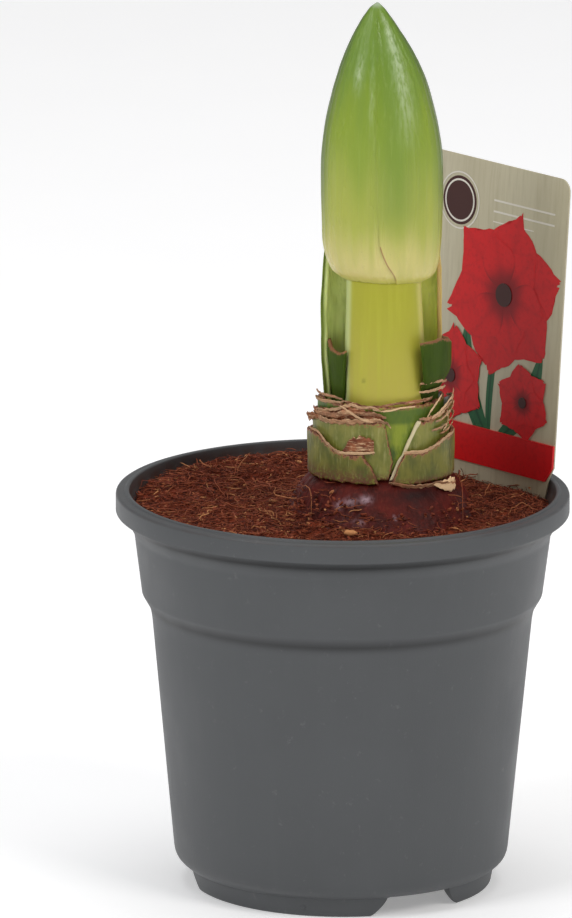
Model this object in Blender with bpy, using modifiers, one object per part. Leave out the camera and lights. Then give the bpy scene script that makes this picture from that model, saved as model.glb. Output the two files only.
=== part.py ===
"""An amaryllis bulb sprouting in a plastic grow pot, with its plant label.

Lengths are in metres. The pot stands on the ground plane with its axis on the
world Z axis, and its front faces -Y. Angles around the pot and around the
plant are measured from the front towards +X.
"""

import math
from typing import NamedTuple

import bmesh
import bpy
from mathutils import Matrix, Vector, noise

MM = 0.001

# Space kept between pieces that touch
GAP = 0.35 * MM
MERGE = 0.00001

# Pot
POT_HEIGHT = 106.8 * MM
POT_WALL = 1.5 * MM
RIM_RADIUS = 60.2 * MM
RIM_WIDTH = 3.6 * MM
LIP_DEPTH = 5.7 * MM
LIP_SLOPE_DEPTH = 10.9 * MM
BAND_TOP_RADIUS = 55.3 * MM
BAND_BOTTOM_RADIUS = 53.2 * MM
BAND_DEPTH = 27.7 * MM
WALL_TOP_RADIUS = 50.5 * MM
WALL_TOP_DEPTH = 32.7 * MM
WALL_BOTTOM_RADIUS = 44.3 * MM
WALL_BOTTOM_HEIGHT = 7.7 * MM
FLOOR_HEIGHT = 5.4 * MM
FLOOR_THICKNESS = 1.8 * MM
FOOT_RADIUS = 40.9 * MM
FOOT_WIDTH = 3.3 * MM
POT_EDGE = 0.7 * MM
POT_FILLET = 1.4 * MM
POT_STEPS = 72

# Arches that part the foot ring into three feet
ARCH_ANGLES = (31, 151, 271)
ARCH_WIDTH = 19.0 * MM
ARCH_FLARE = 4.0 * MM

# Drain holes in the pot's floor
DRAIN_COUNT = 8
DRAIN_RADIUS = 3.5 * MM
DRAIN_CIRCLE = 28.0 * MM

# Growing medium
MEDIUM_EDGE_HEIGHT = 101.3 * MM
MEDIUM_MOUND = 2.0 * MM
MEDIUM_MOUND_RADIUS = 40.0 * MM
MEDIUM_ROUGHNESS = 0.45 * MM
MEDIUM_LUMPS_PER_METRE = 90.0
MEDIUM_RING_WIDTH = 7.0 * MM
MEDIUM_STEPS = 48

# Plant axis, in front and to the right of the pot's axis
PLANT_X = 10.0 * MM
PLANT_Y = -10.0 * MM

# The bulb's outline from its top to its basal plate: radius, height
BULB_OUTLINE = (
    (0.0 * MM, 119.4 * MM),
    (7.0 * MM, 118.8 * MM),
    (13.0 * MM, 116.9 * MM),
    (17.0 * MM, 115.0 * MM),
    (19.6 * MM, 113.2 * MM),
    (22.4 * MM, 109.6 * MM),
    (24.8 * MM, 104.0 * MM),
    (29.8 * MM, 94.0 * MM),
    (33.0 * MM, 80.0 * MM),
    (30.6 * MM, 64.0 * MM),
    (23.0 * MM, 51.5 * MM),
    (14.5 * MM, 45.5 * MM),
    (0.0 * MM, 44.5 * MM),
)
BULB_STEPS = 40
BULB_MIDDLE = 80.0 * MM

# The neck is flattened from front to back
NECK_FLATNESS = 0.87
NECK_FLAT_FROM = 103.0 * MM
NECK_FLAT_TO = 112.0 * MM

# Scape
SCAPE_X = 11.1 * MM
SCAPE_Y = -14.0 * MM
SCAPE_LEAN = -0.9 * MM
SCAPE_BOTTOM_RADIUS = 10.8 * MM
SCAPE_TOP_RADIUS = 9.8 * MM
SCAPE_FLATNESS = 0.78
SCAPE_TOP_HEIGHT = 167.2 * MM

# Flower bud, closed in its two spathe valves
BUD_X = 9.9 * MM
BUD_TIP_X = 8.3 * MM
BUD_RADIUS = 16.05 * MM
BUD_FLATNESS = 0.70
BUD_TIP_HEIGHT = 241.6 * MM
BUD_WIDEST_HEIGHT = 195.0 * MM
BUD_ROUNDING_HEIGHT = 178.6 * MM
BUD_LOWER_WIDTH = 0.968
BUD_CLOSING_HEIGHT = 164.7 * MM
BUD_SEAM_X = 9.2 * MM
BUD_ROWS = 22
BUD_STEPS = 36

# Plant label: a card that narrows to a stake
LABEL_X = 37.0 * MM
LABEL_Y = 32.5 * MM
LABEL_FIX_HEIGHT = 110.0 * MM
LABEL_YAW = math.radians(48.5)
LABEL_LEAN = math.radians(3.8)
LABEL_HALF_WIDTH = 29.0 * MM
LABEL_THICKNESS = 0.5 * MM
LABEL_TOP = 77.8 * MM
LABEL_CORNER = 3.5 * MM
LABEL_SHOULDER_DROP = 32.0 * MM
LABEL_STAKE_HALF_WIDTH = 7.0 * MM
LABEL_TIP_DROP = 62.0 * MM


class Leaf(NamedTuple):
    """A leaf or a sheath that wraps the plant, as angles, radii and heights.

    The edges are the angles of its left and right edges from its bottom to
    its top. The radius goes from base_radius to top_radius between the two
    flare heights. The tops are pairs of angle and height.
    """

    thickness: float
    base_radius: float
    top_radius: float
    flare: tuple
    left_edge: tuple
    right_edge: tuple
    tops: tuple
    columns: int
    rows: int


SHEATH_THICKNESS = 1.1 * MM
RING_PITCH = 1.45 * MM
OUTER_RING = 18.95 * MM
MIDDLE_RING = OUTER_RING - RING_PITCH
INNER_RING = MIDDLE_RING - RING_PITCH
LEAF_RING = INNER_RING - 1.85 * MM
CORE_RING = LEAF_RING - 1.8 * MM
RIGHT_BASE_RING = INNER_RING - 1.55 * MM
RIGHT_LEAF_RING = RIGHT_BASE_RING - 1.6 * MM
NO_FLARE = (130 * MM, 150 * MM)

LEAVES = {
    "sheath_outer_left": Leaf(
        SHEATH_THICKNESS, OUTER_RING, OUTER_RING, NO_FLARE,
        (-184, -184, -184), (-2, -7, -8),
        ((-184, 123 * MM), (-73, 126.6 * MM), (-52, 124.7 * MM), (-40, 122.3 * MM),
         (-29, 122.2 * MM), (-27, 126.8 * MM), (-6, 127.0 * MM)),
        30, 4),
    "sheath_outer_right": Leaf(
        SHEATH_THICKNESS, OUTER_RING, OUTER_RING, NO_FLARE,
        (8, 14, 20), (171, 171, 171),
        ((20, 122.8 * MM), (36, 122.7 * MM), (47, 124.0 * MM), (60, 125.8 * MM),
         (100, 126.0 * MM), (171, 123.5 * MM)),
        28, 4),
    "sheath_middle_left": Leaf(
        SHEATH_THICKNESS, MIDDLE_RING, MIDDLE_RING, NO_FLARE,
        (-150, -150, -150), (3.5, 9.0, 3.1),
        ((-150, 127.0 * MM), (-76, 131.0 * MM), (-34, 131.5 * MM), (6, 131.8 * MM)),
        26, 5),
    "sheath_middle_right": Leaf(
        SHEATH_THICKNESS, MIDDLE_RING, MIDDLE_RING + 1.2 * MM, (128 * MM, 137 * MM),
        (7.5, 16.5, 33.4), (150, 150, 150),
        ((33, 131.2 * MM), (60, 132.0 * MM), (89, 135.0 * MM), (150, 130.0 * MM)),
        24, 5),
    "sheath_inner": Leaf(
        SHEATH_THICKNESS, INNER_RING, INNER_RING, NO_FLARE,
        (-104, -104, -104), (104, 104, 104),
        ((-104, 134.0 * MM), (-60, 135.2 * MM), (0, 135.0 * MM), (104, 135.4 * MM)),
        30, 4),
    "leaf_base_left": Leaf(
        1.2 * MM, CORE_RING, CORE_RING + 0.9 * MM, (131 * MM, 147 * MM),
        (-122, -122, -120, -116), (-64, -58, -48, -42),
        ((-122, 150.0 * MM), (-62, 149.8 * MM), (-50, 148.0 * MM), (-42, 148.8 * MM)),
        14, 6),
    "leaf_base_right": Leaf(
        1.1 * MM, RIGHT_BASE_RING, RIGHT_BASE_RING + 3.4 * MM, (135.5 * MM, 144 * MM),
        (62, 56, 46, 38, 34), (152, 152, 152, 150, 146),
        ((34, 152.0 * MM), (60, 152.2 * MM), (90, 149.8 * MM), (152, 149.0 * MM)),
        16, 12),
    "leaf_left": Leaf(
        1.8 * MM, LEAF_RING, LEAF_RING + 1.0 * MM, (131 * MM, 150 * MM),
        (-166, -166, -164, -160, -148, -139), (-62, -64, -70, -88, -108, -126),
        ((-166, 187.0 * MM), (-62, 187.0 * MM)),
        14, 12),
    "leaf_right": Leaf(
        1.2 * MM, RIGHT_LEAF_RING, RIGHT_LEAF_RING + 2.3 * MM, (134 * MM, 152 * MM),
        (86, 82, 58, 60, 98, 124), (166, 166, 164, 158, 147, 138),
        ((58, 182.0 * MM), (166, 182.0 * MM)),
        14, 12),
}


# Colour and roughness of each piece
FINISHES = {
    "pot": ((0.085, 0.095, 0.102), 0.55),
    "growing_medium": ((0.10, 0.030, 0.012), 0.95),
    "bulb": ((0.085, 0.018, 0.014), 0.50),
    "sheath_outer_left": ((0.20, 0.24, 0.065), 0.60),
    "sheath_outer_right": ((0.16, 0.20, 0.040), 0.60),
    "sheath_middle_left": ((0.25, 0.29, 0.110), 0.60),
    "sheath_middle_right": ((0.20, 0.27, 0.080), 0.60),
    "sheath_inner": ((0.16, 0.28, 0.020), 0.50),
    "leaf_base_left": ((0.035, 0.080, 0.010), 0.45),
    "leaf_base_right": ((0.070, 0.120, 0.020), 0.45),
    "leaf_left": ((0.22, 0.30, 0.100), 0.45),
    "leaf_right": ((0.26, 0.33, 0.090), 0.45),
    "scape": ((0.38, 0.40, 0.040), 0.40),
    "spathe_left": ((0.30, 0.40, 0.060), 0.40),
    "spathe_right": ((0.30, 0.40, 0.060), 0.40),
    "plant_label": ((0.55, 0.06, 0.05), 0.35),
}


def clear_scene():
    """Remove every object of the open scene."""
    for old in list(bpy.data.objects):
        bpy.data.objects.remove(old, do_unlink=True)


def make_collection(name):
    """Add a collection to the scene and return it."""
    collection = bpy.data.collections.new(name)
    bpy.context.scene.collection.children.link(collection)
    return collection


def smooth_step(low, high, value):
    """Go smoothly from 0 at low to 1 at high."""
    t = min(max((value - low) / (high - low), 0.0), 1.0)
    return t * t * (3.0 - 2.0 * t)


def along(pairs, value):
    """Read a list of increasing (position, value) pairs between its points."""
    if value <= pairs[0][0]:
        return pairs[0][1]
    for (x0, y0), (x1, y1) in zip(pairs, pairs[1:]):
        if value <= x1:
            return y0 + (y1 - y0) * (value - x0) / (x1 - x0)
    return pairs[-1][1]


def spread(values, fraction):
    """Read evenly spaced values at a fraction of their length."""
    last = len(values) - 1
    return along([(i / last, value) for i, value in enumerate(values)], fraction)


def mesh_object(name, bm, collection):
    """Make an object of a bmesh, and free the bmesh."""
    mesh = bpy.data.meshes.new(name)
    bm.to_mesh(mesh)
    bm.free()
    obj = bpy.data.objects.new(name, mesh)
    collection.objects.link(obj)
    return obj


def turned(name, profile, steps, collection):
    """Turn a profile of (radius, height) pairs once around the Z axis."""
    bm = bmesh.new()
    verts = [bm.verts.new((radius, 0.0, height)) for radius, height in profile]
    for first, second in zip(verts, verts[1:]):
        bm.edges.new((first, second))
    obj = mesh_object(name, bm, collection)
    screw = obj.modifiers.new("turn", "SCREW")
    screw.steps = steps
    screw.render_steps = steps
    screw.use_merge_vertices = True
    screw.merge_threshold = MERGE
    return obj


def flat_outline(name, points, thickness, matrix, collection):
    """Make a plate of even thickness from a closed outline in its own XY plane."""
    curve = bpy.data.curves.new(name, "CURVE")
    curve.dimensions = "2D"
    curve.fill_mode = "BOTH"
    curve.extrude = thickness / 2
    spline = curve.splines.new("POLY")
    spline.points.add(len(points) - 1)
    for point, (x, y) in zip(spline.points, points):
        point.co = (x, y, 0.0, 1.0)
    spline.use_cyclic_u = True
    obj = bpy.data.objects.new(name, curve)
    collection.objects.link(obj)
    obj.matrix_world = matrix
    return obj


def as_mesh(obj, collection):
    """Replace an object by a plain mesh object of its evaluated shape."""
    bpy.context.view_layer.update()
    evaluated = obj.evaluated_get(bpy.context.evaluated_depsgraph_get())
    mesh = bpy.data.meshes.new_from_object(evaluated)
    matrix = obj.matrix_world.copy()
    name = obj.name
    bpy.data.objects.remove(obj, do_unlink=True)
    bm = bmesh.new()
    bm.from_mesh(mesh)
    bmesh.ops.remove_doubles(bm, verts=bm.verts, dist=MERGE)
    bm.to_mesh(mesh)
    bm.free()
    result = bpy.data.objects.new(name, mesh)
    collection.objects.link(result)
    result.matrix_world = matrix
    return result


def as_cutter(obj):
    """Hide a cutting tool from the finished model."""
    obj.hide_render = True
    obj.display_type = "WIRE"
    return obj


def cut(obj, cutter):
    """Cut one solid out of another."""
    boolean = obj.modifiers.new("cut " + cutter.name, "BOOLEAN")
    boolean.operation = "DIFFERENCE"
    boolean.solver = "EXACT"
    boolean.object = as_cutter(cutter)


def direction(angle):
    """Unit vector of an angle in degrees from the front towards +X."""
    turn = math.radians(angle)
    return Vector((math.sin(turn), -math.cos(turn), 0.0))


def pot_profile():
    """Outline of the pot's wall: up its inside, over the rim, down its outside."""
    top = POT_HEIGHT
    floor_top = FLOOR_HEIGHT + FLOOR_THICKNESS
    rim_inner = RIM_RADIUS - RIM_WIDTH
    wall_foot = WALL_BOTTOM_RADIUS - POT_WALL
    inside = [
        (0.0, floor_top),
        (wall_foot - POT_FILLET, floor_top),
        (wall_foot, floor_top + POT_FILLET),
        (WALL_TOP_RADIUS - POT_WALL, top - WALL_TOP_DEPTH - 0.4 * MM),
        (BAND_BOTTOM_RADIUS - POT_WALL, top - BAND_DEPTH + 0.2 * MM),
        (BAND_TOP_RADIUS - POT_WALL, top - LIP_SLOPE_DEPTH),
        (rim_inner, top - 3.0 * MM),
        (rim_inner, top - 0.4 * MM),
        (rim_inner + 0.4 * MM, top),
    ]
    outside = [
        (RIM_RADIUS - POT_EDGE, top),
        (RIM_RADIUS, top - POT_EDGE),
        (RIM_RADIUS, top - LIP_DEPTH + POT_EDGE),
        (RIM_RADIUS - POT_EDGE, top - LIP_DEPTH),
        (BAND_TOP_RADIUS + 1.1 * MM, top - LIP_SLOPE_DEPTH + 1.6 * MM),
        (BAND_TOP_RADIUS, top - LIP_SLOPE_DEPTH),
        (BAND_BOTTOM_RADIUS, top - BAND_DEPTH),
        (BAND_BOTTOM_RADIUS - POT_EDGE, top - BAND_DEPTH - POT_EDGE),
        (WALL_TOP_RADIUS, top - WALL_TOP_DEPTH),
        (WALL_BOTTOM_RADIUS, WALL_BOTTOM_HEIGHT),
        (WALL_BOTTOM_RADIUS - POT_EDGE, WALL_BOTTOM_HEIGHT - POT_FILLET),
        (WALL_BOTTOM_RADIUS - 2.0 * MM, FLOOR_HEIGHT),
    ]
    foot = [
        (FOOT_RADIUS, FLOOR_HEIGHT - 0.1 * MM),
        (FOOT_RADIUS - POT_EDGE, POT_EDGE),
        (FOOT_RADIUS - 1.5 * POT_EDGE, 0.0),
        (FOOT_RADIUS - FOOT_WIDTH + POT_EDGE / 2, 0.0),
        (FOOT_RADIUS - FOOT_WIDTH, POT_EDGE),
        (FOOT_RADIUS - FOOT_WIDTH, FLOOR_HEIGHT),
        (0.0, FLOOR_HEIGHT),
    ]
    return inside + outside + foot


def arch_cutter(angle, cutters):
    """Cutter of the arch between two feet, wider at the ground."""
    half = ARCH_WIDTH / 2
    top = FLOOR_HEIGHT + 0.2 * MM
    right = [
        (half + ARCH_FLARE, -1.0 * MM),
        (half + ARCH_FLARE, 0.0),
        (half + 0.30 * ARCH_FLARE, 0.30 * top),
        (half + 0.05 * ARCH_FLARE, 0.70 * top),
        (half, top),
    ]
    outline = right + [(-x, z) for x, z in reversed(right)]
    radial = direction(angle)
    up = Vector((0.0, 0.0, 1.0))
    across = up.cross(radial)
    turn = Matrix((across, up, across.cross(up))).transposed().to_4x4()
    place = Matrix.Translation(radial * (FOOT_RADIUS - FOOT_WIDTH / 2)) @ turn
    plate = flat_outline(f"arch_{angle}", outline, 3.5 * FOOT_WIDTH, place, cutters)
    return as_mesh(plate, cutters)


def drain_cutter(number, cutters):
    """Cutter of one drain hole."""
    place = direction((number + 0.5) * 360 / DRAIN_COUNT) * DRAIN_CIRCLE
    place.z = FLOOR_HEIGHT + FLOOR_THICKNESS / 2
    bm = bmesh.new()
    bmesh.ops.create_cone(
        bm, cap_ends=True, segments=16, radius1=DRAIN_RADIUS, radius2=DRAIN_RADIUS,
        depth=3 * FLOOR_THICKNESS, matrix=Matrix.Translation(place))
    return mesh_object(f"drain_{number}", bm, cutters)


def make_pot(parts, cutters):
    """The moulded pot, with three feet and a ring of drain holes."""
    pot = turned("pot", pot_profile(), POT_STEPS, parts)
    for angle in ARCH_ANGLES:
        cut(pot, arch_cutter(angle, cutters))
    for number in range(DRAIN_COUNT):
        cut(pot, drain_cutter(number, cutters))


def bulb_profile(allowance):
    """The bulb's outline, grown by an allowance on every side."""
    grow = 1.0 + allowance / (BULB_MIDDLE - BULB_OUTLINE[-1][1])
    return [
        (radius + allowance if radius else 0.0, BULB_MIDDLE + (height - BULB_MIDDLE) * grow)
        for radius, height in BULB_OUTLINE
    ]


def bulb_height(radius):
    """Height of the bulb's rounded top at a radius from the plant's axis."""
    shoulder = [pair for pair in BULB_OUTLINE if pair[1] > BULB_MIDDLE]
    return along(shoulder, radius)


def place_on_plant(mesh):
    """Flatten the neck of a turned mesh and move it to the plant's axis."""
    for vert in mesh.vertices:
        neck = smooth_step(NECK_FLAT_FROM, NECK_FLAT_TO, vert.co.z)
        vert.co.y *= 1.0 + (NECK_FLATNESS - 1.0) * neck
        vert.co.x += PLANT_X
        vert.co.y += PLANT_Y


def make_bulb(name, allowance, collection):
    """The bulb, or a slightly larger one that cuts its bed."""
    bulb = as_mesh(turned(name, bulb_profile(allowance), BULB_STEPS, collection), collection)
    place_on_plant(bulb.data)
    return bulb


def medium_profile():
    """Outline of the growing medium that fills the pot up to below its rim."""
    floor_top = FLOOR_HEIGHT + FLOOR_THICKNESS + GAP
    top = POT_HEIGHT
    clear = POT_WALL + GAP
    rim_inner = RIM_RADIUS - RIM_WIDTH - GAP
    surface = [(step * MEDIUM_RING_WIDTH, MEDIUM_EDGE_HEIGHT) for step in range(8)]
    side = [
        (rim_inner - 1.0 * MM, MEDIUM_EDGE_HEIGHT),
        (BAND_TOP_RADIUS - clear, top - LIP_SLOPE_DEPTH - 0.1 * MM),
        (BAND_BOTTOM_RADIUS - clear - 0.1 * MM, top - BAND_DEPTH + 0.2 * MM),
        (WALL_TOP_RADIUS - clear - 0.1 * MM, top - WALL_TOP_DEPTH - 0.2 * MM),
        (WALL_BOTTOM_RADIUS - clear - 0.1 * MM, floor_top + 1.5 * MM),
        (WALL_BOTTOM_RADIUS - clear - 1.6 * MM, floor_top),
        (0.0, floor_top),
    ]
    return surface + side


def make_growing_medium(parts, cutters):
    """Coir that fills the pot, with a bed for the bulb and a slot for the label."""
    plain = turned("growing_medium", medium_profile(), MEDIUM_STEPS, parts)
    medium = as_mesh(plain, parts)
    middle = Vector((PLANT_X, PLANT_Y))
    for vert in medium.data.vertices:
        if vert.co.z < MEDIUM_EDGE_HEIGHT - 0.1 * MM:
            continue
        reach = (vert.co.xy - middle).length / MEDIUM_MOUND_RADIUS
        vert.co.z += MEDIUM_MOUND * (1.0 - smooth_step(0.45, 1.0, reach))
        vert.co.z += MEDIUM_ROUGHNESS * noise.noise(vert.co * MEDIUM_LUMPS_PER_METRE)
    cut(medium, make_bulb("bulb_bed", GAP, cutters))
    slot = make_label("label_slot", GAP, cutters)
    cut(medium, as_mesh(slot, cutters))


def make_leaf(name, leaf, parts):
    """A leaf or sheath: a curved sheet around the plant, thickened both ways."""
    inner_edge = leaf.base_radius - leaf.thickness / 2
    bottom = bulb_height(inner_edge) + GAP
    bm = bmesh.new()
    bmesh.ops.create_grid(bm, x_segments=leaf.columns, y_segments=leaf.rows, size=0.5)
    for vert in bm.verts:
        across = vert.co.x + 0.5
        up = vert.co.y + 0.5
        left = spread(leaf.left_edge, up)
        right = spread(leaf.right_edge, up)
        angle = left + (right - left) * across
        height = bottom + (along(leaf.tops, angle) - bottom) * up
        flare = smooth_step(leaf.flare[0], leaf.flare[1], height)
        radius = leaf.base_radius + (leaf.top_radius - leaf.base_radius) * flare
        out = direction(angle) * radius
        vert.co = (PLANT_X + out.x, PLANT_Y + out.y * NECK_FLATNESS, height)
    obj = mesh_object(name, bm, parts)
    solidify = obj.modifiers.new("thickness", "SOLIDIFY")
    solidify.thickness = leaf.thickness
    solidify.offset = 0.0
    solidify.use_even_offset = True


def make_scape(parts):
    """The oval flower stem, a little narrower at its top."""
    bottom = bulb_height(0.0) + GAP
    length = SCAPE_TOP_HEIGHT - bottom
    bm = bmesh.new()
    bmesh.ops.create_cone(
        bm, cap_ends=True, segments=40, radius1=SCAPE_BOTTOM_RADIUS, radius2=SCAPE_TOP_RADIUS,
        depth=length, matrix=Matrix.Translation((0.0, 0.0, bottom + length / 2)))
    for vert in bm.verts:
        vert.co.x += SCAPE_X + SCAPE_LEAN * (vert.co.z - bottom) / length
        vert.co.y = SCAPE_Y + vert.co.y * SCAPE_FLATNESS
    mesh_object("scape", bm, parts)


def bud_radius(height):
    """Half the bud's width at a height: a pointed top over a rounded foot."""
    if height >= BUD_WIDEST_HEIGHT:
        rise = (height - BUD_WIDEST_HEIGHT) / (BUD_TIP_HEIGHT - BUD_WIDEST_HEIGHT)
        return BUD_RADIUS * max(1.0 - rise ** 2.1, 0.0) ** 0.85
    fall = smooth_step(BUD_WIDEST_HEIGHT, BUD_ROUNDING_HEIGHT, height)
    radius = BUD_RADIUS * (1.0 + (BUD_LOWER_WIDTH - 1.0) * fall)
    if height >= BUD_ROUNDING_HEIGHT:
        return radius
    drop = (BUD_ROUNDING_HEIGHT - height) / (BUD_ROUNDING_HEIGHT - BUD_CLOSING_HEIGHT)
    return radius * (1.0 - drop ** 2.5) ** 0.4


def make_bud(name, collection):
    """The whole closed bud, oval in section, its tip leaning to the left."""
    foot = SCAPE_TOP_HEIGHT + GAP
    length = BUD_TIP_HEIGHT - foot
    heights = [BUD_TIP_HEIGHT - length * (i / BUD_ROWS) ** 1.25 for i in range(BUD_ROWS + 1)]
    profile = [(bud_radius(height), height) for height in heights]
    profile[0] = (0.0, BUD_TIP_HEIGHT)
    profile.append((0.0, foot))
    bud = as_mesh(turned(name, profile, BUD_STEPS, collection), collection)
    for vert in bud.data.vertices:
        lean = smooth_step(BUD_WIDEST_HEIGHT, BUD_TIP_HEIGHT, vert.co.z)
        vert.co.x += BUD_X + (BUD_TIP_X - BUD_X) * lean
        vert.co.y = SCAPE_Y + vert.co.y * BUD_FLATNESS
    return bud


def half_space(name, side, cutters):
    """A block on one side of the seam between the spathe valves."""
    block = 60 * MM
    bm = bmesh.new()
    bmesh.ops.create_cube(bm, size=1.0)
    for vert in bm.verts:
        vert.co.x = BUD_SEAM_X + vert.co.x * block + side * (block - GAP) / 2
        vert.co.y = SCAPE_Y + vert.co.y * block
        vert.co.z = BUD_WIDEST_HEIGHT + vert.co.z * 2 * block
    return mesh_object(name, bm, cutters)


def make_spathe(parts, cutters):
    """The two valves that close around the flower buds."""
    for name, side in (("spathe_left", -1), ("spathe_right", 1)):
        valve = make_bud(name, parts)
        cut(valve, half_space(name + "_other_side", -side, cutters))


def label_outline(grow):
    """Outline of the label from its rounded top corners down to its stake."""
    half = LABEL_HALF_WIDTH + grow
    top = LABEL_TOP + grow
    corner = LABEL_CORNER
    right = []
    for step in range(5):
        turn = math.radians(90 - 22.5 * step)
        right.append((half - corner + corner * math.cos(turn), top - corner + corner * math.sin(turn)))
    right += [
        (half, -grow),
        (LABEL_STAKE_HALF_WIDTH + grow, -LABEL_SHOULDER_DROP - grow),
        (0.4 * LABEL_STAKE_HALF_WIDTH + grow, -LABEL_TIP_DROP - grow),
    ]
    return right + [(-x, y) for x, y in reversed(right)]


def make_label(name, allowance, collection):
    """The label card, turned away from the front and leaning back a little."""
    across = Vector((math.cos(LABEL_YAW), -math.sin(LABEL_YAW), 0.0))
    back = Vector((math.sin(LABEL_YAW), math.cos(LABEL_YAW), 0.0))
    up = Vector((0.0, 0.0, math.cos(LABEL_LEAN))) + back * math.sin(LABEL_LEAN)
    turn = Matrix((across, up, across.cross(up))).transposed().to_4x4()
    place = Matrix.Translation((LABEL_X, LABEL_Y, LABEL_FIX_HEIGHT)) @ turn
    thickness = LABEL_THICKNESS + 2 * allowance
    return flat_outline(name, label_outline(allowance), thickness, place, collection)


def paint(parts):
    """Give every piece its own material."""
    for obj in parts.objects:
        colour, roughness = FINISHES[obj.name]
        material = bpy.data.materials.new(obj.name)
        material.use_nodes = True
        shader = material.node_tree.nodes["Principled BSDF"]
        shader.inputs["Base Color"].default_value = (*colour, 1.0)
        shader.inputs["Roughness"].default_value = roughness
        shader.inputs["Metallic"].default_value = 0.0
        obj.data.materials.clear()
        obj.data.materials.append(material)


def shade_smooth(parts):
    """Shade every mesh smoothly, with sharp edges kept sharp."""
    for obj in parts.objects:
        if obj.type == "MESH":
            obj.data.shade_smooth()
            obj.data.set_sharp_from_angle(angle=math.radians(35))


def main():
    clear_scene()
    parts = make_collection("potted_amaryllis")
    cutters = make_collection("cutters")
    make_pot(parts, cutters)
    make_growing_medium(parts, cutters)
    make_bulb("bulb", 0.0, parts)
    for name, leaf in LEAVES.items():
        make_leaf(name, leaf, parts)
    make_scape(parts)
    make_spathe(parts, cutters)
    make_label("plant_label", 0.0, parts)
    paint(parts)
    shade_smooth(parts)


main()
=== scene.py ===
"""The finished surfaces of a potted amaryllis: pot, coir, bulb, leaves, bud and plant label.

Shapes are worked out in millimetres, in the packed model's own frame, and become metres
when a mesh is made. Angles around the plant run from the front (-Y) towards +X.
"""

import math
from typing import NamedTuple

import bmesh
import bpy
import numpy as np
from bpy.props import FloatProperty, FloatVectorProperty, IntProperty, PointerProperty
from bpy.types import Operator, Panel, PropertyGroup
from mathutils import Matrix, Vector, noise


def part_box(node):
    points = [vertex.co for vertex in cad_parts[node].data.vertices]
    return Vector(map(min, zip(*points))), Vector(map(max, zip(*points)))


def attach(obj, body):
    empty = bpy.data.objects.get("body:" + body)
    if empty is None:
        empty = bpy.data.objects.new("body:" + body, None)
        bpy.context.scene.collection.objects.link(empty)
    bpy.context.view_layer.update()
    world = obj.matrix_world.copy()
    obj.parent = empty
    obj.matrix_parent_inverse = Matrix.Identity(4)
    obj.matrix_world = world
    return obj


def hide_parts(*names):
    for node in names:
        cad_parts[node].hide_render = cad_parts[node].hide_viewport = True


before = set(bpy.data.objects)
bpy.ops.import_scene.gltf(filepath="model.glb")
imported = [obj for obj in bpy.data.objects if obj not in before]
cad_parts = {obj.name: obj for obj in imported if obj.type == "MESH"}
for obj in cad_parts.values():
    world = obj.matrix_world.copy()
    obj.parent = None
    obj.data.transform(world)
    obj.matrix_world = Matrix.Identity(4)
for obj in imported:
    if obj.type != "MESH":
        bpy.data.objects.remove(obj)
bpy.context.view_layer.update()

bl_info = {
    "name": "Potted Amaryllis",
    "version": (1, 0, 0),
    "blender": (4, 5, 0),
    "location": "View3D > Sidebar > Amaryllis",
    "description": "Builds the finished surfaces of an amaryllis bulb in its grow pot",
    "category": "Add Mesh",
}

MM = 0.001


def box_mm(node):
    """Lowest and highest corner of a node of the packed model, in millimetres."""
    low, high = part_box(node)
    return low / MM, high / MM


# Pot
POT_CORNER = box_mm("pot")[1]
POT_HEIGHT = POT_CORNER.z
RIM_RADIUS = POT_CORNER.x
RIM_WIDTH = 3.6
RIM_INNER = RIM_RADIUS - RIM_WIDTH
BEAD_HEIGHT = 0.5
LIP_DEPTH = 5.7
LIP_SLOPE_DEPTH = 10.9
BAND_TOP_RADIUS = 55.3
BAND_BOTTOM_RADIUS = 53.2
BAND_DEPTH = 27.7
WALL_TOP_RADIUS = 50.5
WALL_TOP_DEPTH = 32.7
WALL_BOTTOM_RADIUS = 44.3
WALL_BOTTOM_HEIGHT = 7.7
WALL = 1.5
FLOOR_HEIGHT = 5.4
FLOOR_TOP = 7.2
FOOT_RADIUS = 40.9
FOOT_WIDTH = 3.3
ARCH_ANGLES = (31, 151, 271)
ARCH_HALF_WIDTH = 9.5
ARCH_FLARE = 4.0
DRAIN_COUNT = 8
DRAIN_RADIUS = 3.5
DRAIN_CIRCLE = 28.0
DRAIN_STEPS = 32
MOULD_DOT_ANGLE = -14.3
MOULD_DOT_HEIGHT = 2.6

# Growing medium
MEDIUM_EDGE_HEIGHT = 101.4
MEDIUM_EDGE_RADIUS = 55.4
MEDIUM_MOUND = 2.0
MEDIUM_MOUND_RADIUS = 40.0
MEDIUM_RINGS = 96
MEDIUM_COLUMNS = 240

# Half the side and the mesh size of the square that the litter is strewn on
LITTER_HALF_SIDE = 56.0
LITTER_STEP = 1.4

# Plant axis and the rings that its sheaths lie on
PLANT_X = 10.0
PLANT_Y = -10.0
NECK_FLATNESS = 0.87
SHEATH_THICKNESS = 1.1


def ring_radius(node):
    """Radius of a sheath's middle, from the box of its node."""
    return PLANT_X - box_mm(node)[0].x - SHEATH_THICKNESS / 2


OUTER_RING = ring_radius("sheath_outer_left")
MIDDLE_RING = ring_radius("sheath_middle_left")
INNER_RING = ring_radius("sheath_inner")
LEAF_RING = INNER_RING - 1.85
LEFT_BASE_RING = LEAF_RING - 1.8
RIGHT_BASE_RING = INNER_RING - 1.55
RIGHT_LEAF_RING = RIGHT_BASE_RING - 1.6

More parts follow.
